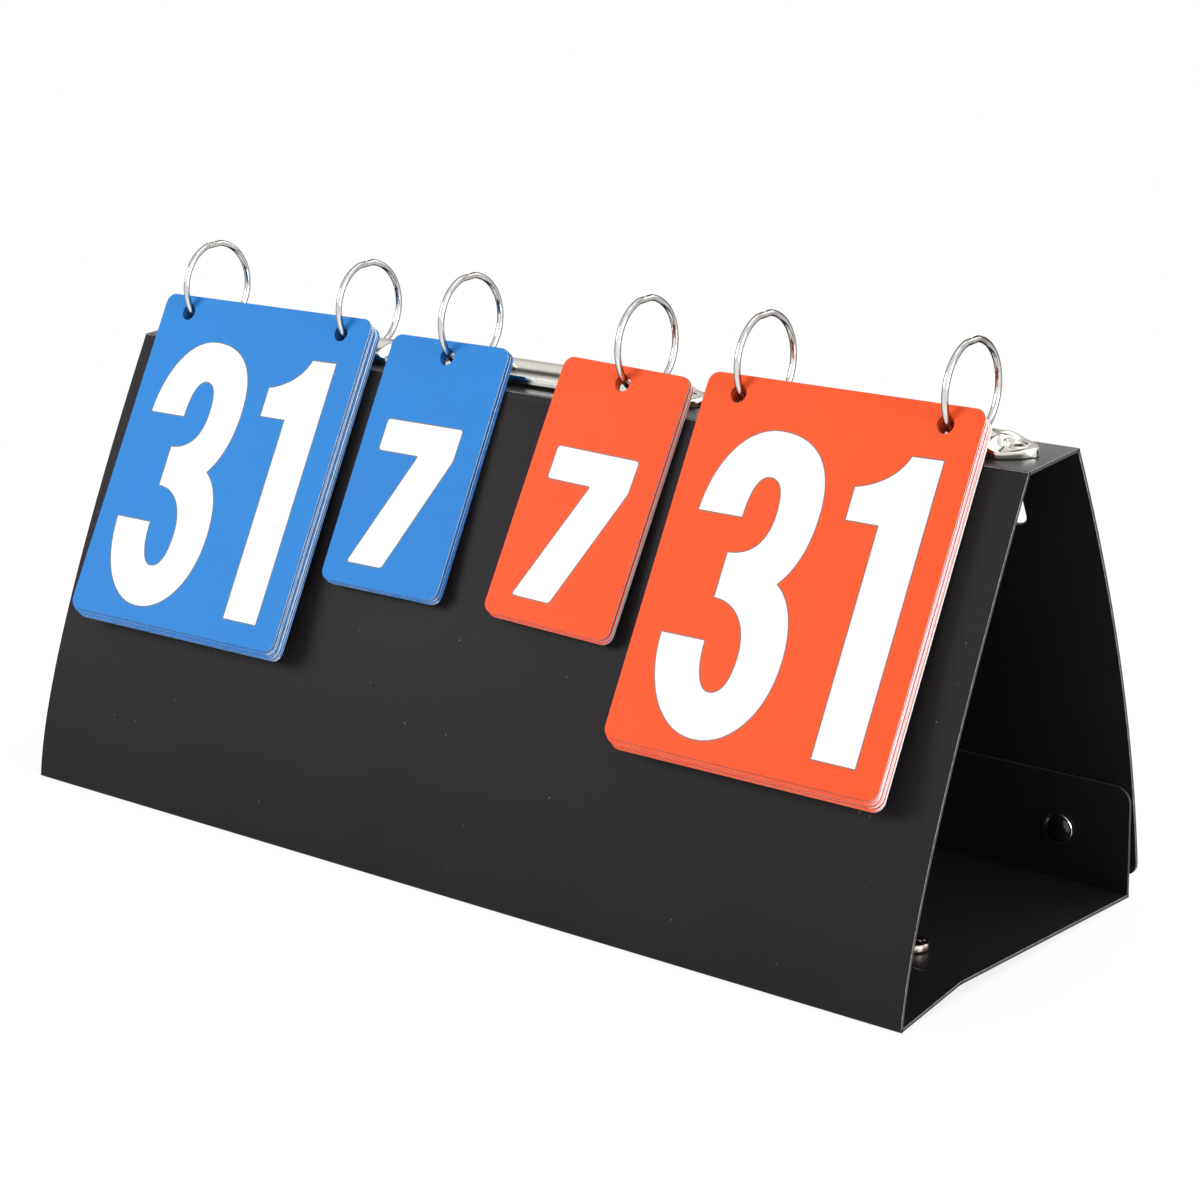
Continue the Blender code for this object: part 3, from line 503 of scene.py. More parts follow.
def makePanel(
    node, path, noses, outside, slots=False, posts=None, corner=0.0, eyelets=False, score=None, inner=False
):
    # noses are the sizes of the round edges at the creases, 0 for a free edge.
    # posts is how far along the press studs are, and score is a pressed line: how far along, and its side.
    length = reachesOf(path)[-1]
    reach = board["gauge"] / 2 * math.sin(board["noseSweep"])
    low, high = -reach * noses[0], length + reach * noses[1]
    bm = bmesh.new()
    addLoop(bm, 0.0, (low + high) / 2, board["length"], high - low, corner, "high")
    if slots:
        middle, span = (board["slotStart"] + board["slotEnd"]) / 2, board["slotEnd"] - board["slotStart"]
        for x in ringPlaces:
            addLoop(bm, x, middle, board["slotWidth"], span, board["slotWidth"] * board["slotRound"])
    if posts is not None:
        addHoles(bm, snapPlaces, posts, board["postHole"], board["holeSides"])
    if eyelets:
        addHoles(bm, eyeletPlaces, length / 2, board["eyeletHole"], board["holeSides"])
    fillSheet(bm, board["gauge"], board["chamfer"], (0, 1, 2, 3) if outside == "low" else (1, 0, 2, 3))
    bendSheet(bm, path, noses, [(score[0], score[1] * board["scoreDeep"])] if score else [])
    outer = finish["spineOutside" if eyelets else "sheetOutside"]
    # With inner set, both edge slots take the dim finish, a painted shade in place of the lit edge and its
    # paler burr.
    edges = [finish["innerEdge"]] * 2 if inner else [finish["sheetEdge"], finish["sheetBurr"]]
    replaceNode(node, bm, [outer, finish["sheetInside"]] + edges)


slim = board["innerNose"]
makePanel("spine_strip", [frontCrease, backCrease], (1.0, 1.0), "high", eyelets=True)
makePanel("front_panel", frontPath, (slim, 1.0), "low", slots=True, score=(board["scoreAlong"], -1))
makePanel(
    "back_panel", backPath, (slim, 0.0), "high",
    slots=True, posts=backSnapReach, corner=board["backCorner"], score=(board["scoreAlong"], 1),
)
makePanel("fore_edge_strip", [footCrease, ridgeCrease], (slim, slim), "low")
makePanel(
    "base_strip", [ridgeCrease, flapCrease], (1.0, 1.0), "low",
    posts=board["baseSnap"], score=(board["baseScoreAlong"], 1),
)
makePanel(
    "snap_flap", flapPath, (slim, 0.0), "low",
    posts=board["flapSnap"], corner=board["flapCorner"], inner=True,
)
print("board made")


def turnProfile(profile, steps=36):
    # A profile of (radius, height) points in millimetres, turned about Z.
    bm = bmesh.new()
    verts = [bm.verts.new((radius * mm, 0.0, height * mm)) for radius, height in profile]
    edges = [bm.edges.new(pair) for pair in zip(verts, verts[1:])]
    bmesh.ops.spin(
        bm, geom=verts + edges, cent=(0.0, 0.0, 0.0), axis=(0.0, 0.0, 1.0),
        angle=math.tau, steps=steps, use_merge=True,
    )
    bmesh.ops.remove_doubles(bm, verts=bm.verts[:], dist=1e-6)
    return bm


# Profiles of the press studs. Heights are above the sheet, and each post fills its hole.
snap = {
    "rim": 5.2 * mm,  # from here outwards a lacquered cap has a bright metal rim, a painted highlight for the glints on its rolled rim
    "cap": [
        (0.0, -1.2), (1.5, -1.2), (1.5, 0.3), (5.35, 0.3), (5.6, 0.36), (5.75, 0.55), (5.75, 0.78),
        (5.62, 0.98), (5.36, 1.06), (5.12, 1.02), (5.0, 1.06), (4.6, 1.38), (3.9, 1.78), (3.0, 2.09),
        (2.0, 2.26), (1.0, 2.33), (0.0, 2.35),
    ],
    "drum": [
        (0.0, -1.2), (1.5, -1.2), (1.5, 0.3), (4.9, 0.3), (5.2, 0.42), (5.35, 0.7), (5.35, 1.1), (5.25, 1.9),
        (5.1, 2.4), (4.85, 2.7), (4.5, 2.82), (4.15, 2.7), (3.95, 2.35), (3.9, 1.7), (3.7, 1.3), (3.1, 1.08),
        (1.6, 1.02), (0.0, 1.0),
    ],
    "socket": [
        (0.0, 0.3), (4.9, 0.3), (5.15, 0.42), (5.2, 0.7), (5.2, 1.7), (5.1, 2.0), (4.8, 2.25), (4.3, 2.3),
        (3.7, 2.28), (3.4, 2.1), (3.3, 1.8), (3.3, 0.9), (3.1, 0.8), (0.0, 0.8),
    ],
    "stud": [
        (0.0, 0.3), (2.7, 0.3), (2.9, 0.45), (2.9, 0.85), (2.7, 1.0), (1.9, 1.02), (1.55, 1.2), (1.5, 1.45),
        (1.6, 1.8), (1.45, 2.1), (1.1, 2.27), (0.6, 2.3), (0.0, 2.3),
    ],
}
backSnap, backSnapDown = alongPath(backPath, backSnapReach)
baseDown = (flapCrease - ridgeCrease).normalized()
snapRows = (  # point on the sheet's middle, outward way, then name, profile and finish of each half
    (
        ridgeCrease + baseDown * board["baseSnap"], Vector((-baseDown.y, baseDown.x)),
        ("base_cap", "drum", "snapMetal"), ("base_socket", "socket", "snapMetal"),
    ),
    (
        flapCrease + flapUp * board["flapSnap"], Vector((-flapUp.y, flapUp.x)),
        ("flap_cap", "cap", "blackLacquer"), ("flap_socket", "socket", "snapMetal"),
    ),
    (
        backSnap, Vector((-backSnapDown.y, backSnapDown.x)),
        ("stud_cap", "cap", "blackLacquer"), ("stud", "stud", "snapMetal"),
    ),
)


def makeSnapHalf(node, shape, used, x, point, outward, way):
    # way is 1 for the half on the outward side and -1 for its mate.
    base = point + outward * (way * board["gauge"] / 2)
    bm = turnProfile(snap[shape])
    for face in bm.faces:
        middle = face.calc_center_median()
        # Slot 1 is the painted highlight metal on a cap's rim.
        face.material_index = int(shape == "cap" and middle.xy.length > snap["rim"] and middle.z > 0.0)
    turn = math.atan2(-outward.x, outward.y) + (0.0 if way > 0 else math.pi)
    spot = Matrix.Translation((x, base.x, base.y)) @ Matrix.Rotation(turn, 4, "X")
    replaceNode(node, bm, [finish[used], finish["lacquerRim"]], spot=spot)


for side, x in zip(("left", "right"), snapPlaces):
    for point, outward, cap, mate in snapRows:
        for way, (name, shape, used) in ((1, cap), (-1, mate)):
            makeSnapHalf(side + "_" + name, shape, used, x, point, outward, way)
print("press studs made")

spineTilt = math.radians(4.0)
ringCentre = endView(hinges["blue_points_swing"])
ringLift = 18.7 * mm
mechanismOrigin = ringCentre - Vector((-math.sin(spineTilt), math.cos(spineTilt))) * ringLift


def mechanismPlace(x):
    return Matrix.Translation((x, mechanismOrigin.x, mechanismOrigin.y)) @ Matrix.Rotation(spineTilt, 4, "X")


# Heights are above the spine, and shares along a nose run from 0 where it starts to 1 at its tip.
plate = {
    "half": 64.0 * mm, "width": 19.6 * mm, "gauge": 0.7 * mm, "crown": 6.5 * mm, "shoulder": 3.7 * mm,
    "lip": 1.3 * mm, "endCrown": 3.3 * mm, "tipCrown": 3.0 * mm, "endFall": 0.8 * mm, "endFoot": 0.3 * mm,
    "nose": 14.0 * mm, "point": 0.68, "tipShare": 0.10, "stepSpan": (0.04, 0.36), "tipSpan": (0.75, 1.0),
    "footSpan": (0.0, 0.3), "seatRadius": 3.3 * mm, "seatRim": 4.3 * mm, "seatHeight": 2.5 * mm,
    "notch": (38.3 * mm, 41.7 * mm), "notchColumn": 5,
    "sections": (10.0 * mm, 24.0 * mm, 46.0 * mm), "archSteps": 24, "noseSteps": 22,
    "shoulderRound": 0.9 * mm, "shoulderSteps": 3, "edgeRound": 0.15 * mm, "edgeSteps": 2, "edgeAngle": 50.0,
}


def smoothSpan(value, span):
    # Rises smoothly from 0 to 1 over a span.
    t = min(1.0, max(0.0, (value - span[0]) / (span[1] - span[0])))
    return t * t * (3 - 2 * t)


def gridRanks(bm, axis):
    # The row or column of each vertex of a grid.
    places = sorted({round(vert.co[axis], 5) for vert in bm.verts})
    return {vert: places.index(round(vert.co[axis], 5)) for vert in bm.verts}


def plateSection(along):
    # Half width, crown, fall to the long edges, and foot of the plate's section.
    reach = max(0.0, (abs(along) - (plate["half"] - plate["nose"])) / plate["nose"])
    halfWidth = plate["width"] / 2 * max(plate["tipShare"], max(0.0, 1 - reach * reach) ** plate["point"])
    step, tip = smoothSpan(reach, plate["stepSpan"]), smoothSpan(reach, plate["tipSpan"])
    crown = plate["crown"] + (plate["endCrown"] - plate["crown"]) * step
    crown += (plate["tipCrown"] - plate["endCrown"]) * tip
    fall = plate["crown"] - plate["shoulder"]
    fall += (plate["endFall"] - fall) * step
    foot = plate["lip"] + (plate["endFoot"] - plate["lip"]) * smoothSpan(reach, plate["footSpan"])
    return halfWidth, crown, fall, foot


def makePlate(node, x):
    # An arched strip with pressed ends: a grid laid over the arch, notched for the wires, then thickened.
    quarters = [math.radians(90.0 * step / plate["noseSteps"]) for step in range(plate["noseSteps"] + 1)]
    noseSections = [plate["half"] - plate["nose"] * math.cos(angle) for angle in quarters]
    right = sorted(plate["sections"] + plate["notch"]) + noseSections + [plate["half"]]
    stations = [-place for place in reversed(right)] + [0.0] + right
    columns = plate["archSteps"] + 2
    bm = bmesh.new()
    bmesh.ops.create_grid(bm, x_segments=len(stations) - 1, y_segments=columns, size=0.5)
    rows, ranks = gridRanks(bm, 0), gridRanks(bm, 1)
    cut = []
    for face in bm.faces:
        row, rank = min(rows[vert] for vert in face.verts), min(ranks[vert] for vert in face.verts)
        inNotch = plate["notch"][0] < abs(stations[row] + stations[row + 1]) / 2 < plate["notch"][1]
        if inNotch and (rank <= plate["notchColumn"] or rank >= columns - 1 - plate["notchColumn"]):
            cut.append(face)
    bends = [edge for edge in bm.edges if [ranks[vert] for vert in edge.verts] in ([1, 1], [columns - 1] * 2)]
    for vert in bm.verts:
        along, rank = stations[rows[vert]], ranks[vert]
        halfWidth, crown, fall, foot = plateSection(along)
        share = 2 * (min(max(rank, 1), columns - 1) - 1) / (columns - 2) - 1
        height = crown - fall * share * share
        away = math.hypot(abs(along) - eyeletReach, halfWidth * share)
        sunk = smoothSpan(-away, (-plate["seatRim"], -plate["seatRadius"]))
        height = min(height, height + (plate["seatHeight"] - height) * sunk)
        onLip = rank in (0, columns) or rows[vert] in (0, len(stations) - 1)
        vert.co = (along, halfWidth * share, foot if onLip else height)
    bmesh.ops.delete(bm, geom=cut, context="FACES")
    bends = [edge for edge in bends if edge.is_valid]
    bmesh.ops.bevel(
        bm, geom=bends, offset=plate["shoulderRound"], offset_type="OFFSET", segments=plate["shoulderSteps"],
        profile=0.5, affect="EDGES", clamp_overlap=True, material=-1,
    )
    bmesh.ops.remove_doubles(bm, verts=bm.verts[:], dist=1e-6)
    bmesh.ops.transform(bm, matrix=mechanismPlace(x), verts=bm.verts[:])
    bmesh.ops.recalc_face_normals(bm, faces=bm.faces[:])
    if sum(face.normal.z for face in bm.faces) < 0:
        bmesh.ops.reverse_faces(bm, faces=bm.faces[:])
    piece = linkMesh(camelName(node), bm, [finish["plateChrome"]])
    wall = piece.modifiers.new("gauge", "SOLIDIFY")
    wall.thickness, wall.offset, wall.use_even_offset = plate["gauge"], -1.0, False
    rounding = piece.modifiers.new("edges", "BEVEL")
    rounding.width, rounding.segments = plate["edgeRound"], plate["edgeSteps"]
    rounding.limit_method, rounding.angle_limit = "ANGLE", math.radians(plate["edgeAngle"])
    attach(piece, frame["nodes"][node]["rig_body"])
    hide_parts(node)


eyelet = {
    "holeRadius": 1.6 * mm, "holeTop": 2.9 * mm,
    "profile": [
        (0.0, 1.0), (1.1, 1.0), (1.15, 1.4), (1.2, 2.2), (1.4, 2.7), (1.62, 2.95), (1.85, 3.08),
        (2.15, 3.1), (2.6, 2.97), (2.95, 2.76), (3.1, 2.6), (3.05, 2.48), (1.6, 2.48), (1.6, -1.5),
        (2.9, -1.5), (3.1, -1.62), (2.9, -1.8), (2.3, -2.0), (1.6, -2.1), (0.9, -2.1), (0.8, -1.9),
        (0.8, -1.7), (0.0, -1.7),
    ],
}


def makeEyelet(node, x):
    bm = turnProfile(eyelet["profile"])
    # The inside of the hole takes the dark finish, a painted shade.
    for face in bm.faces:
        middle = face.calc_center_median()
        holeShaded = middle.xy.length < eyelet["holeRadius"] and 0.0 < middle.z < eyelet["holeTop"]
        face.material_index = int(holeShaded)
    replaceNode(node, bm, [finish["plateChrome"], finish["eyeletHole"]], spot=mechanismPlace(x))


wire = {
    "radius": 1.15 * mm, "ring": 16.43 * mm, "sides": 20, "steps": 36, "kink": math.radians(12.0),
    "seam": 0.03 * mm, "tipChamfer": 0.10 * mm, "tipShare": 0.8, "foot": 7.4 * mm, "knee": 0.8 * mm,
    "shoulder": 3.15 * mm, "shoulderFall": 0.15 * mm, "shoulderShare": 0.85, "leafUnder": 1.75 * mm,
    "tenon": 0.7 * mm, "sharp": 50.0,
}


def pullLoop(bm, edges, move, grow=1.0, turn=0.0):
    # Extrudes a ring of edges, moves it, and returns the new ring.
    made = bmesh.ops.extrude_edge_only(bm, edges=edges)["geom"]
    verts = vertsOf(made)
    centre = sum((vert.co for vert in verts), Vector()) / len(verts)
    if grow != 1.0:
        bmesh.ops.scale(bm, vec=(grow, grow, grow), space=Matrix.Translation(-centre), verts=verts)
    if turn:
        bmesh.ops.rotate(bm, cent=centre, matrix=Matrix.Rotation(turn, 3, "X"), verts=verts)
    bmesh.ops.translate(bm, vec=move, verts=verts)
    loop = set(verts)
    return [edge for edge in edgesOf(made) if all(vert in loop for vert in edge.verts)]


def centreOf(ring):
    return sum((edge.verts[0].co for edge in ring), Vector()) / len(ring)


def makeHalfRing(node, x, side):
    # Bent wire from the seam at the top down to its leaf. side is -1 for the front half.
    bm = bmesh.new()
    kink, bend = wire["kink"], math.asin(wire["foot"] / wire["ring"])
    top = Matrix.Translation((0.0, 0.0, ringLift + wire["ring"])) @ Matrix.Rotation(math.radians(90), 4, "X")
    bmesh.ops.create_circle(bm, cap_ends=False, segments=wire["sides"], radius=wire["radius"], matrix=top)
    middle = (0.0, 0.0, ringLift)
    bmesh.ops.rotate(bm, cent=middle, matrix=Matrix.Rotation(-side * kink, 3, "X"), verts=bm.verts[:])
    first = bm.edges[:]
    spun = bmesh.ops.spin(
        bm, geom=bm.verts[:] + first, cent=middle, axis=(1.0, 0.0, 0.0),
        angle=-side * (math.pi - bend - kink), steps=wire["steps"], use_merge=False,
    )
    last = edgesOf(spun["geom_last"])
    foot = centreOf(last)
    knee, fall, turn = wire["knee"], wire["shoulderFall"], -side * bend / 2
    loop = pullLoop(bm, last, (0.0, side * wire["foot"] - foot.y, -knee), turn=turn)
    loop = pullLoop(bm, loop, (0.0, 0.0, wire["shoulder"] - foot.z + knee), turn=turn)
    loop = pullLoop(bm, loop, (0.0, 0.0, -fall), wire["shoulderShare"])
    loop = pullLoop(bm, loop, (0.0, 0.0, 0.0), wire["tenon"] / wire["radius"] / wire["shoulderShare"])
    loop = pullLoop(bm, loop, (0.0, 0.0, wire["leafUnder"] - wire["shoulder"] + fall))
    bmesh.ops.contextual_create(bm, geom=loop)
    seam = wire["seam"] + wire["tipChamfer"]
    loop = pullLoop(bm, first, (0.0, side * seam - centreOf(first).y, 0.0), turn=side * kink)
    loop = pullLoop(bm, loop, (0.0, -side * wire["tipChamfer"], 0.0), wire["tipShare"])
    bmesh.ops.contextual_create(bm, geom=loop)
    replaceNode(node, bm, [finish["wireChrome"]], spot=mechanismPlace(x), sharp=wire["sharp"])


for name, x in mechanisms.items():
    makePlate(name + "_cover_plate", x)
    for end, way in (("left", -1), ("right", 1)):
        makeEyelet(name + "_" + end + "_eyelet", x + way * eyeletReach)
    for end, way in (("left", -1), ("right", 1)):
        for half, side in (("front", -1), ("rear", 1)):
            makeHalfRing(name + "_" + end + "_" + half + "_half_ring", x + way * ringPitch / 2, side)
    for half in ("front", "rear"):
        leafMaterials = frame["nodes"][name + "_" + half + "_leaf"].data.materials
        leafMaterials.clear()
        leafMaterials.append(finish["leafSteel"])
print("ring mechanisms made")

pack = {
    "lean": math.radians(27.5), "hang": 17.5 * mm, "corner": 4.0 * mm, "chamfer": 0.10 * mm, "seed": 31,
    "holeRadius": 3.1 * mm, "holeSides": 28, "holeWall": 1.05,  # in radii, how near a face is its wall
    "cardGauge": 0.46 * mm, "cadCard": 0.5 * mm, "space": 0.3 * mm,  # between neighbouring blocks
    "cardRounding": 8, "leafRounding": 6,
    "points": {
        "width": 107.0 * mm, "height": 128.0 * mm, "front": 9.8 * mm, "drop": 6.6 * mm,
        "holes": (-40.0 * mm, 40.0 * mm), "blocks": 3, "leaves": 3, "blockDepth": 1.36 * mm,
        "stray": (0.18 * mm, 0.22 * mm, 0.10),
    },
    "sets": {
        "width": 55.0 * mm, "height": 94.0 * mm, "front": 6.9 * mm, "drop": 6.0 * mm,
        "holes": (0.0,), "blocks": 2, "leaves": 2, "blockDepth": 0.76 * mm,
        "stray": (0.2 * mm, 0.2 * mm, 0.25),
    },
    "leafShare": {"blue": 0.80, "red": 0.95},  # of the space that each leaf has in its block
    # In the edge tones, slot 3 is painted shade that darkens some blue leaf edges.
    "edgeTones": {"blue": (2, 3, 1, 1), "red": (1, 1, 1, 2)},  # material slots of the leaves' cut edges
}
packs = {  # sway is in degrees, then across and up, and the rear leaves lie to the right by the fan
    "blue_points": {
        "kind": "points", "colour": "blue", "fan": 1.0 * mm, "sway": (0.38, -0.30 * mm, 0.25 * mm),
    },
    "blue_sets": {"kind": "sets", "colour": "blue", "fan": 0.9 * mm, "sway": (0.3, 0.2 * mm, -0.1 * mm)},
    "red_sets": {"kind": "sets", "colour": "red", "fan": 0.5 * mm, "sway": (-1.7, 0.0, 0.0)},
    "red_points": {"kind": "points", "colour": "red", "fan": 0.3 * mm, "sway": (0.0, 0.0, 0.0)},
}
# The fourth slot is painted shade for hole walls and dark edge lines, the fifth painted bounce light on
# bottom edges.
faceSlot, rimSlot, chamferSlot, holeShadeSlot, lowSlot = range(5)
chance = random.Random(pack["seed"])


def holeReach(depth):
    # How far below the ring centre a leaf's holes hang on the ring, by its depth in the pack.
    return math.sqrt(pack["hang"] ** 2 - depth**2)


def makeLeaf(size, gauge, chamfer, rounding):
    # One punched leaf in X and Y, drawn from the middle of its holes, its front face at +z.
    bm = bmesh.new()
    centre = size["drop"] - size["height"] / 2
    addLoop(bm, 0.0, centre, size["width"], size["height"], pack["corner"], steps=rounding)
    addHoles(bm, size["holes"], 0.0, pack["holeRadius"], pack["holeSides"])
    fillSheet(bm, gauge, chamfer, (faceSlot, faceSlot, rimSlot, chamferSlot))
    lowEnd = size["drop"] - size["height"] + pack["corner"] / 2
    for face in bm.faces:
        middle = face.calc_center_median()
        away = min(math.hypot(middle.x - x, middle.y) for x in size["holes"])
        # Hole walls take the painted shade.
        if face.material_index != faceSlot and away < pack["holeWall"] * pack["holeRadius"]:
            face.material_index = holeShadeSlot
        # Cut edges near the bottom take the paler painted bounce light.
        elif face.material_index == rimSlot and middle.y < lowEnd:
            face.material_index = lowSlot
    return bm


def leafMatrix(name, holeDrop, depth, stray=(0.0, 0.0, 0.0)):
    # Hangs a leaf by its holes on the ring, swayed as its pack is and strayed a little of its own.
    sway, across, up = packs[name]["sway"]
    place = Matrix.Translation(hinges[name + "_swing"]) @ Matrix.Rotation(-pack["lean"], 4, "X")
    shift = Matrix.Translation((across + stray[0], up + stray[1] - holeDrop, depth))
    turn = Matrix.Rotation(math.radians(sway + stray[2]), 4, "Z")
    return place @ Matrix.Rotation(math.radians(90), 4, "X") @ shift @ turn


def cardMatrix(name, depth):
    # The front card and its ink hang from where the CAD's card does, each at its own depth.
    front = pack[packs[name]["kind"]]["front"]
    return leafMatrix(name, holeReach(front - pack["cadCard"] / 2), depth)


def edgeFinishes(colour, chamferPart):
    return [finish[colour + part] for part in ("Card", "EdgePale", chamferPart, "EdgeDark", "EdgeLow")]


def makeCard(name, size, colour):
    bm = makeLeaf(size, pack["cardGauge"], pack["chamfer"], pack["cardRounding"])
    spot = cardMatrix(name, size["front"] - pack["cardGauge"] / 2)
    # The front card's chamfer takes the dark keyline finish, a painted edge shade.
    replaceNode(name + "_card", bm, edgeFinishes(colour, "Keyline"), spot=spot)


def makeBlocks(name, size, colour):
    # The leaves behind the front card, in the blocks that the CAD has.
    pitch = size["blockDepth"] / size["leaves"]
    tones = pack["edgeTones"][colour]
    leaf = makeLeaf(size, pitch * pack["leafShare"][colour], 0.0, pack["leafRounding"])
    template = bpy.data.meshes.new("leafTemplate")
    leaf.to_mesh(template)
    leaf.free()
    for block in range(size["blocks"]):
        behind = pack["cadCard"] + pack["space"] + block * (size["blockDepth"] + pack["space"])
        bm = bmesh.new()
        for index in range(size["leaves"]):
            knownVerts, knownFaces = len(bm.verts), len(bm.faces)
            bm.from_mesh(template)
            depth = size["front"] - behind - pitch * (index + 0.5)
            order = block * size["leaves"] + index
            stray = [chance.uniform(-most, most) for most in size["stray"]]
            stray[0] += packs[name]["fan"] * (order + 1) / (size["blocks"] * size["leaves"])
            hung = leafMatrix(name, holeReach(depth), depth, stray)
            bmesh.ops.transform(bm, matrix=hung, verts=bm.verts[knownVerts:])
            tone = tones[(order + chance.randrange(len(tones))) % len(tones)]
            for face in bm.faces[knownFaces:]:
                if face.material_index == rimSlot:
                    face.material_index = tone
        replaceNode(name + "_leaves_" + str(block + 1), bm, edgeFinishes(colour, "EdgeMid"))
    bpy.data.meshes.remove(template)


for name, row in packs.items():
    makeCard(name, pack[row["kind"]], row["colour"])
    makeBlocks(name, pack[row["kind"]], row["colour"])
print("packs made")

# Digit outlines in millimetres: x from the card's middle, then the distance below its top edge,
# then the handles before and after the point. A point without handles is a corner.
digits = {
    "3": [
        (-42.0, 47.2, 0, 0, 0.6, -16.5), (-18.8, 17.0, -14.0, 0, 15.5, 0), (4.2, 42.2, 0, -15.5, 0, 11.5),
        (-4.2, 67.0, 5.0, -5.2, 6.6, 4.0), (6.0, 91.0, 0, -11.0, 0, 18.5), (-18.5, 121.8, 13.5, 0, -14.5, 0),
        (-42.3, 89.7, 0, 17.5, 0, 0), (-25.0, 89.7, 0, 0, 0, 9.0), (-17.8, 106.0, -4.6, 0, 4.8, 0),
        (-10.6, 92.6, 0, 8.5, 0, -9.5), (-26.0, 75.0, 9.8, 0, 0, 0), (-26.0, 59.7, 0, 0, 8.8, -0.2),
        (-11.7, 44.2, 0, 10.2, 0, -7.8), (-18.2, 32.6, 4.4, 0, -4.2, 0), (-24.6, 47.2, 0, -9.0, 0, 0),
    ],
    "1": [
        (43.2, 18.4), (43.0, 119.2), (26.7, 119.2), (26.7, 42.2), (14.2, 42.2), (14.2, 31.2, 0, 0, 6.5, -1.2),
        (31.6, 18.6, -2.6, 7.4, 0, 0),
    ],
    "7": [(-18.0, 31.8), (17.3, 31.8), (17.0, 43.4), (-0.8, 85.9), (-17.2, 85.9), (0.9, 43.6), (-18.2, 43.6)],
}
ink = {
    "keyline": 0.48 * mm, "rise": 0.030 * mm, "keylineRise": 0.015 * mm, "gauge": 0.012 * mm,
    "curveSteps": 14, "rounding": {"7": 1.1}, "handleShare": 0.55,  # which rounds a corner nearly to an arc
}
scores = {  # each digit, and how far in millimetres it is moved to the right
    "blue_points": (("3", -0.9), ("1", -0.9)),
    "red_points": (("3", 0.0), ("1", 0.0)),
    "blue_sets": (("7", 0.0),),
    "red_sets": (("7", 0.0),),
}


def roundedPoints(points, radius):
    # Two points with handles in place of each corner of a straight-sided digit.
    rounded = []
    for index, (x, y) in enumerate(points):
        spot, before = Vector((x, y)), Vector(points[index - 1])
        after = Vector(points[(index + 1) % len(points)])
        into, out = (before - spot).normalized() * radius, (after - spot).normalized() * radius
        rounded.append((*(spot + into), 0, 0, *(-into * ink["handleShare"])))
        rounded.append((*(spot + out), *(-out * ink["handleShare"]), 0, 0))
    return rounded


def digitMesh(shape, grow):
    # A filled outline as a thin closed plate, drawn with a curve and then made a mesh.
    points = digits[shape]
    if shape in ink["rounding"]:
        points = roundedPoints(points, ink["rounding"][shape])
    curve = bpy.data.curves.new("digitCurve", "CURVE")
    curve.dimensions, curve.fill_mode, curve.resolution_u = "2D", "BOTH", ink["curveSteps"]
    curve.offset, curve.extrude = grow, ink["gauge"] / 2
    spline = curve.splines.new("BEZIER")
    spline.use_cyclic_u = True
    spline.bezier_points.add(len(points) - 1)
    for knot, point in zip(spline.bezier_points, points):
        x, y, inX, inY, outX, outY = (*point, 0, 0, 0, 0)[:6]
        knot.handle_left_type = knot.handle_right_type = "FREE"
        knot.co = Vector((x, -y, 0.0)) * mm
        knot.handle_left = Vector((x + inX, -y - inY, 0.0)) * mm
        knot.handle_right = Vector((x + outX, -y - outY, 0.0)) * mm
    drawn = bpy.data.objects.new("digitCurve", curve)
    bpy.context.scene.collection.objects.link(drawn)
    bpy.context.view_layer.update()
    mesh = bpy.data.meshes.new_from_object(drawn.evaluated_get(bpy.context.evaluated_depsgraph_get()))
    bpy.data.objects.remove(drawn)
    bpy.data.curves.remove(curve)
    return mesh


def printDigit(name, shape, across, order):
    # The white ink on a slightly larger dark one, which shows as a thin line round it.
    size, colour = pack[packs[name]["kind"]], packs[name]["colour"]
    layers = (
        ("Keyline", ink["keyline"], ink["keylineRise"], colour + "Keyline"),
        ("Ink", 0.0, ink["rise"], "whiteInk"),
    )
    onCard = Matrix.Translation((across * mm, size["drop"], 0.0))
    for part, grow, rise, used in layers:
        mesh = digitMesh(shape, grow)
        bm = bmesh.new()
        bm.from_mesh(mesh)
        bpy.data.meshes.remove(mesh)
        spot = cardMatrix(name, size["front"] + rise - ink["gauge"] / 2) @ onCard
        for face in bm.faces:
            face.material_index = 0
        label, carrier = camelName(name) + part + str(order), name + "_front_card"
        placePiece(label, bm, carrier, colour + "_card", [finish[used]], spot=spot, merge=1e-6)


for name, shown in scores.items():
    for order, (shape, across) in enumerate(shown):
        printDigit(name, shape, across, order + 1)
print("digits made")

studio = {
    "eye": (0.6283, -0.77165, 0.3617), "target": (0.03229, -0.01585, 0.09723), "lens": 85.72, "sensor": 36.0,
    "floorHalf": 6.0, "floorDrop": 0.2 * mm, "floorTone": 0.86, "floorRough": 0.9, "floorShine": 0.1,
    "floorSeen": 0.32, "floorGlow": 0.78, "glowTint": (0.985, 0.992, 1.0, 1), "fade": (0.32, 0.75),
    "skyForLight": 0.42, "skyTint": (0.97, 0.985, 1.0, 1), "skySeen": 1.0,
    "lampTarget": (0.0, 0.0, 0.1),
    "lamps": (  # name, place, size and power
        ("keySoftbox", (-1.45, -1.5, 1.0), 1.1, 26.5),
        ("rearSoftbox", (0.5, 1.9, 1.2), 1.4, 9.0),
        ("topSoftbox", (0.3, 0.4, 1.9), 1.6, 5.0),
        ("sideSoftbox", (2.0, -0.2, 0.7), 1.2, 28.0),
    ),
}


def seenDirectly(tree):
    # 1 for what the camera sees, also in a mirror or through glass, and 0 for what lights the object.
    path = addNode(tree, "LightPath")
    seen = addMaths(tree, "MAXIMUM", path.outputs["Is Camera Ray"], path.outputs["Is Glossy Ray"])
    return addMaths(tree, "MAXIMUM", seen, path.outputs["Is Transmission Ray"])


def aim(piece, target):
    piece.rotation_euler = (Vector(target) - piece.location).to_track_quat("-Z", "Y").to_euler()


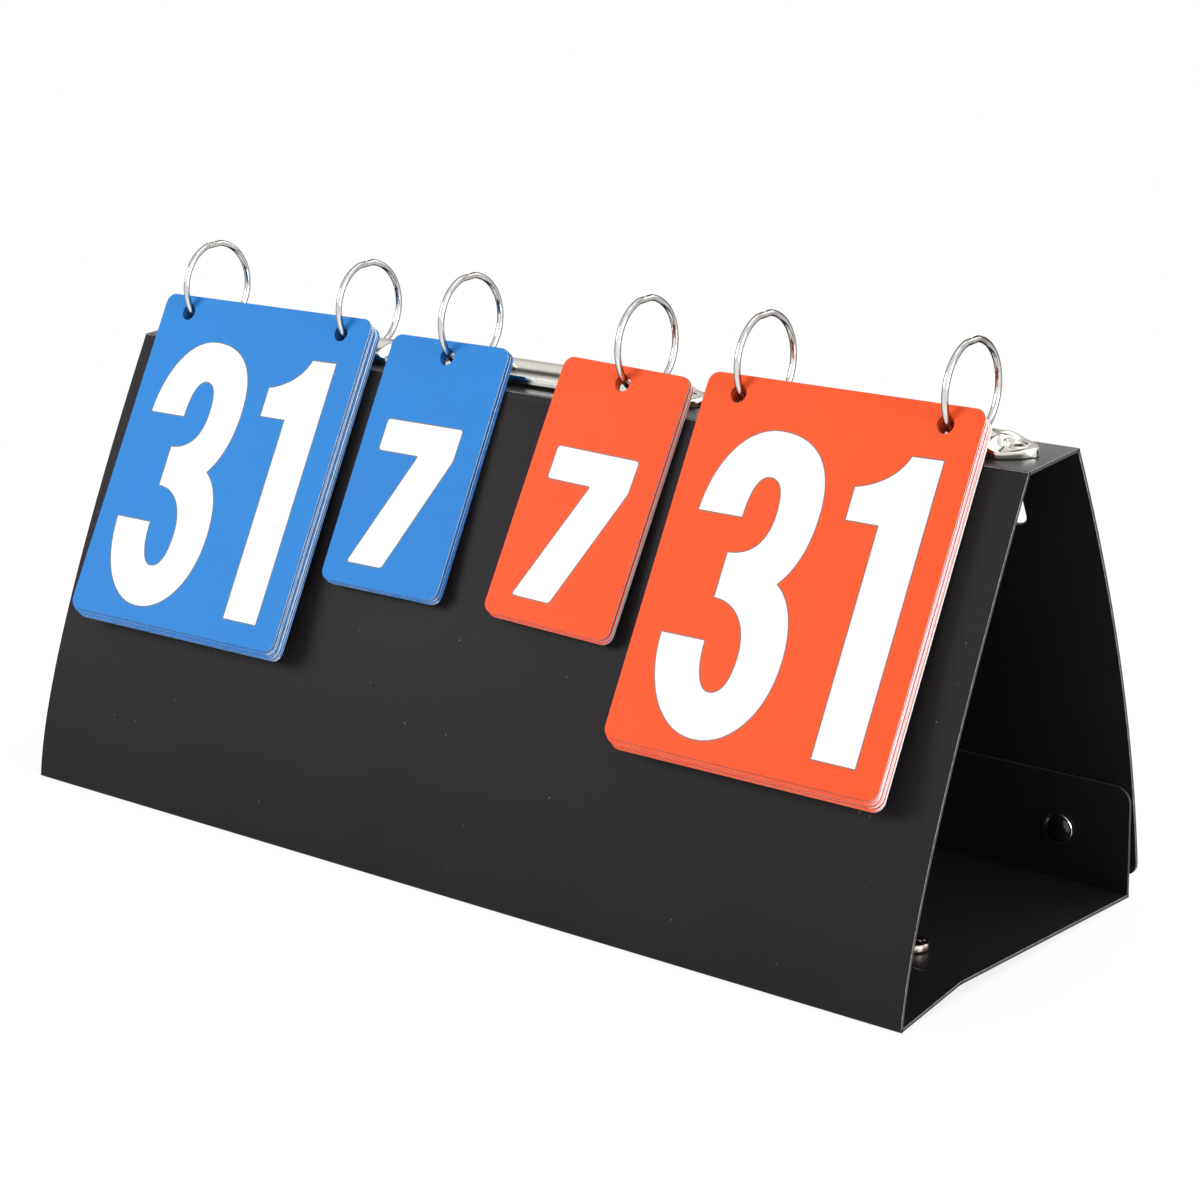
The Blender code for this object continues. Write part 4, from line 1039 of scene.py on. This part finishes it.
def makePaper():
    # The camera sees the paper brighter than it lights the object, and it fades to the white background.
    paper = bpy.data.materials.new("paper")
    paper.use_nodes = True
    tree = paper.node_tree
    shader = tree.nodes["Principled BSDF"]
    shader.inputs["Base Color"].default_value = (studio["floorTone"],) * 3 + (1,)
    shader.inputs["Roughness"].default_value = studio["floorRough"]
    shader.inputs["Specular IOR Level"].default_value = studio["floorShine"]
    seenPaper = addNode(tree, "BsdfDiffuse", {"Color": (studio["floorSeen"],) * 3 + (1,)})
    glow = addNode(tree, "Emission", {"Color": studio["glowTint"], "Strength": studio["floorGlow"]})
    lit = addNode(tree, "AddShader", {0: seenPaper.outputs[0], 1: glow.outputs[0]})
    place = addNode(tree, "TexCoord").outputs["Object"]
    far = addNode(tree, "VectorMath", {0: place}, operation="LENGTH").outputs["Value"]
    near, end = studio["fade"]
    span = {"Value": far, "From Min": near, "From Max": end}
    fade = addNode(tree, "MapRange", span, interpolation_type="SMOOTHSTEP")
    white = addNode(tree, "Emission", {"Color": (1, 1, 1, 1), "Strength": 1.0})
    faded = addNode(tree, "MixShader", {0: fade.outputs[0], 1: lit.outputs[0], 2: white.outputs[0]})
    seen = addNode(tree, "MixShader", {0: seenDirectly(tree), 1: shader.outputs[0], 2: faded.outputs[0]})
    tree.links.new(seen.outputs[0], tree.nodes["Material Output"].inputs["Surface"])
    return paper


def makeFloor():
    bm = bmesh.new()
    bmesh.ops.create_grid(bm, x_segments=8, y_segments=8, size=studio["floorHalf"])
    bmesh.ops.translate(bm, verts=bm.verts[:], vec=(0.0, 0.0, -studio["floorDrop"]))
    floor = linkMesh("floor", bm, [makePaper()])


def makeSky():
    world = bpy.data.worlds.new("studio")
    bpy.context.scene.world = world
    world.use_nodes = True
    tree = world.node_tree
    tree.nodes.clear()
    light = addNode(tree, "Background", {"Color": studio["skyTint"], "Strength": studio["skyForLight"]})
    white = addNode(tree, "Background", {"Color": (1, 1, 1, 1), "Strength": studio["skySeen"]})
    mixed = addNode(tree, "MixShader", {0: seenDirectly(tree), 1: light.outputs[0], 2: white.outputs[0]})
    addNode(tree, "OutputWorld", {"Surface": mixed.outputs[0]}, is_active_output=True)


def makeLamps():
    for name, place, across, power in studio["lamps"]:
        lamp = bpy.data.lights.new(name, "AREA")
        lamp.shape, lamp.size, lamp.energy = "DISK", across, power
        made = bpy.data.objects.new(name, lamp)
        made.location = place
        bpy.context.scene.collection.objects.link(made)
        aim(made, studio["lampTarget"])


def makeCamera():
    scene = bpy.context.scene
    lens = bpy.data.cameras.new("camera")
    lens.lens, lens.sensor_width = studio["lens"], studio["sensor"]
    camera = bpy.data.objects.new("camera", lens)
    camera.location = studio["eye"]
    scene.collection.objects.link(camera)
    aim(camera, studio["target"])
    scene.camera = camera
    scene.view_settings.view_transform = "Standard"


makeFloor()
makeSky()
makeLamps()
makeCamera()
print("studio made")
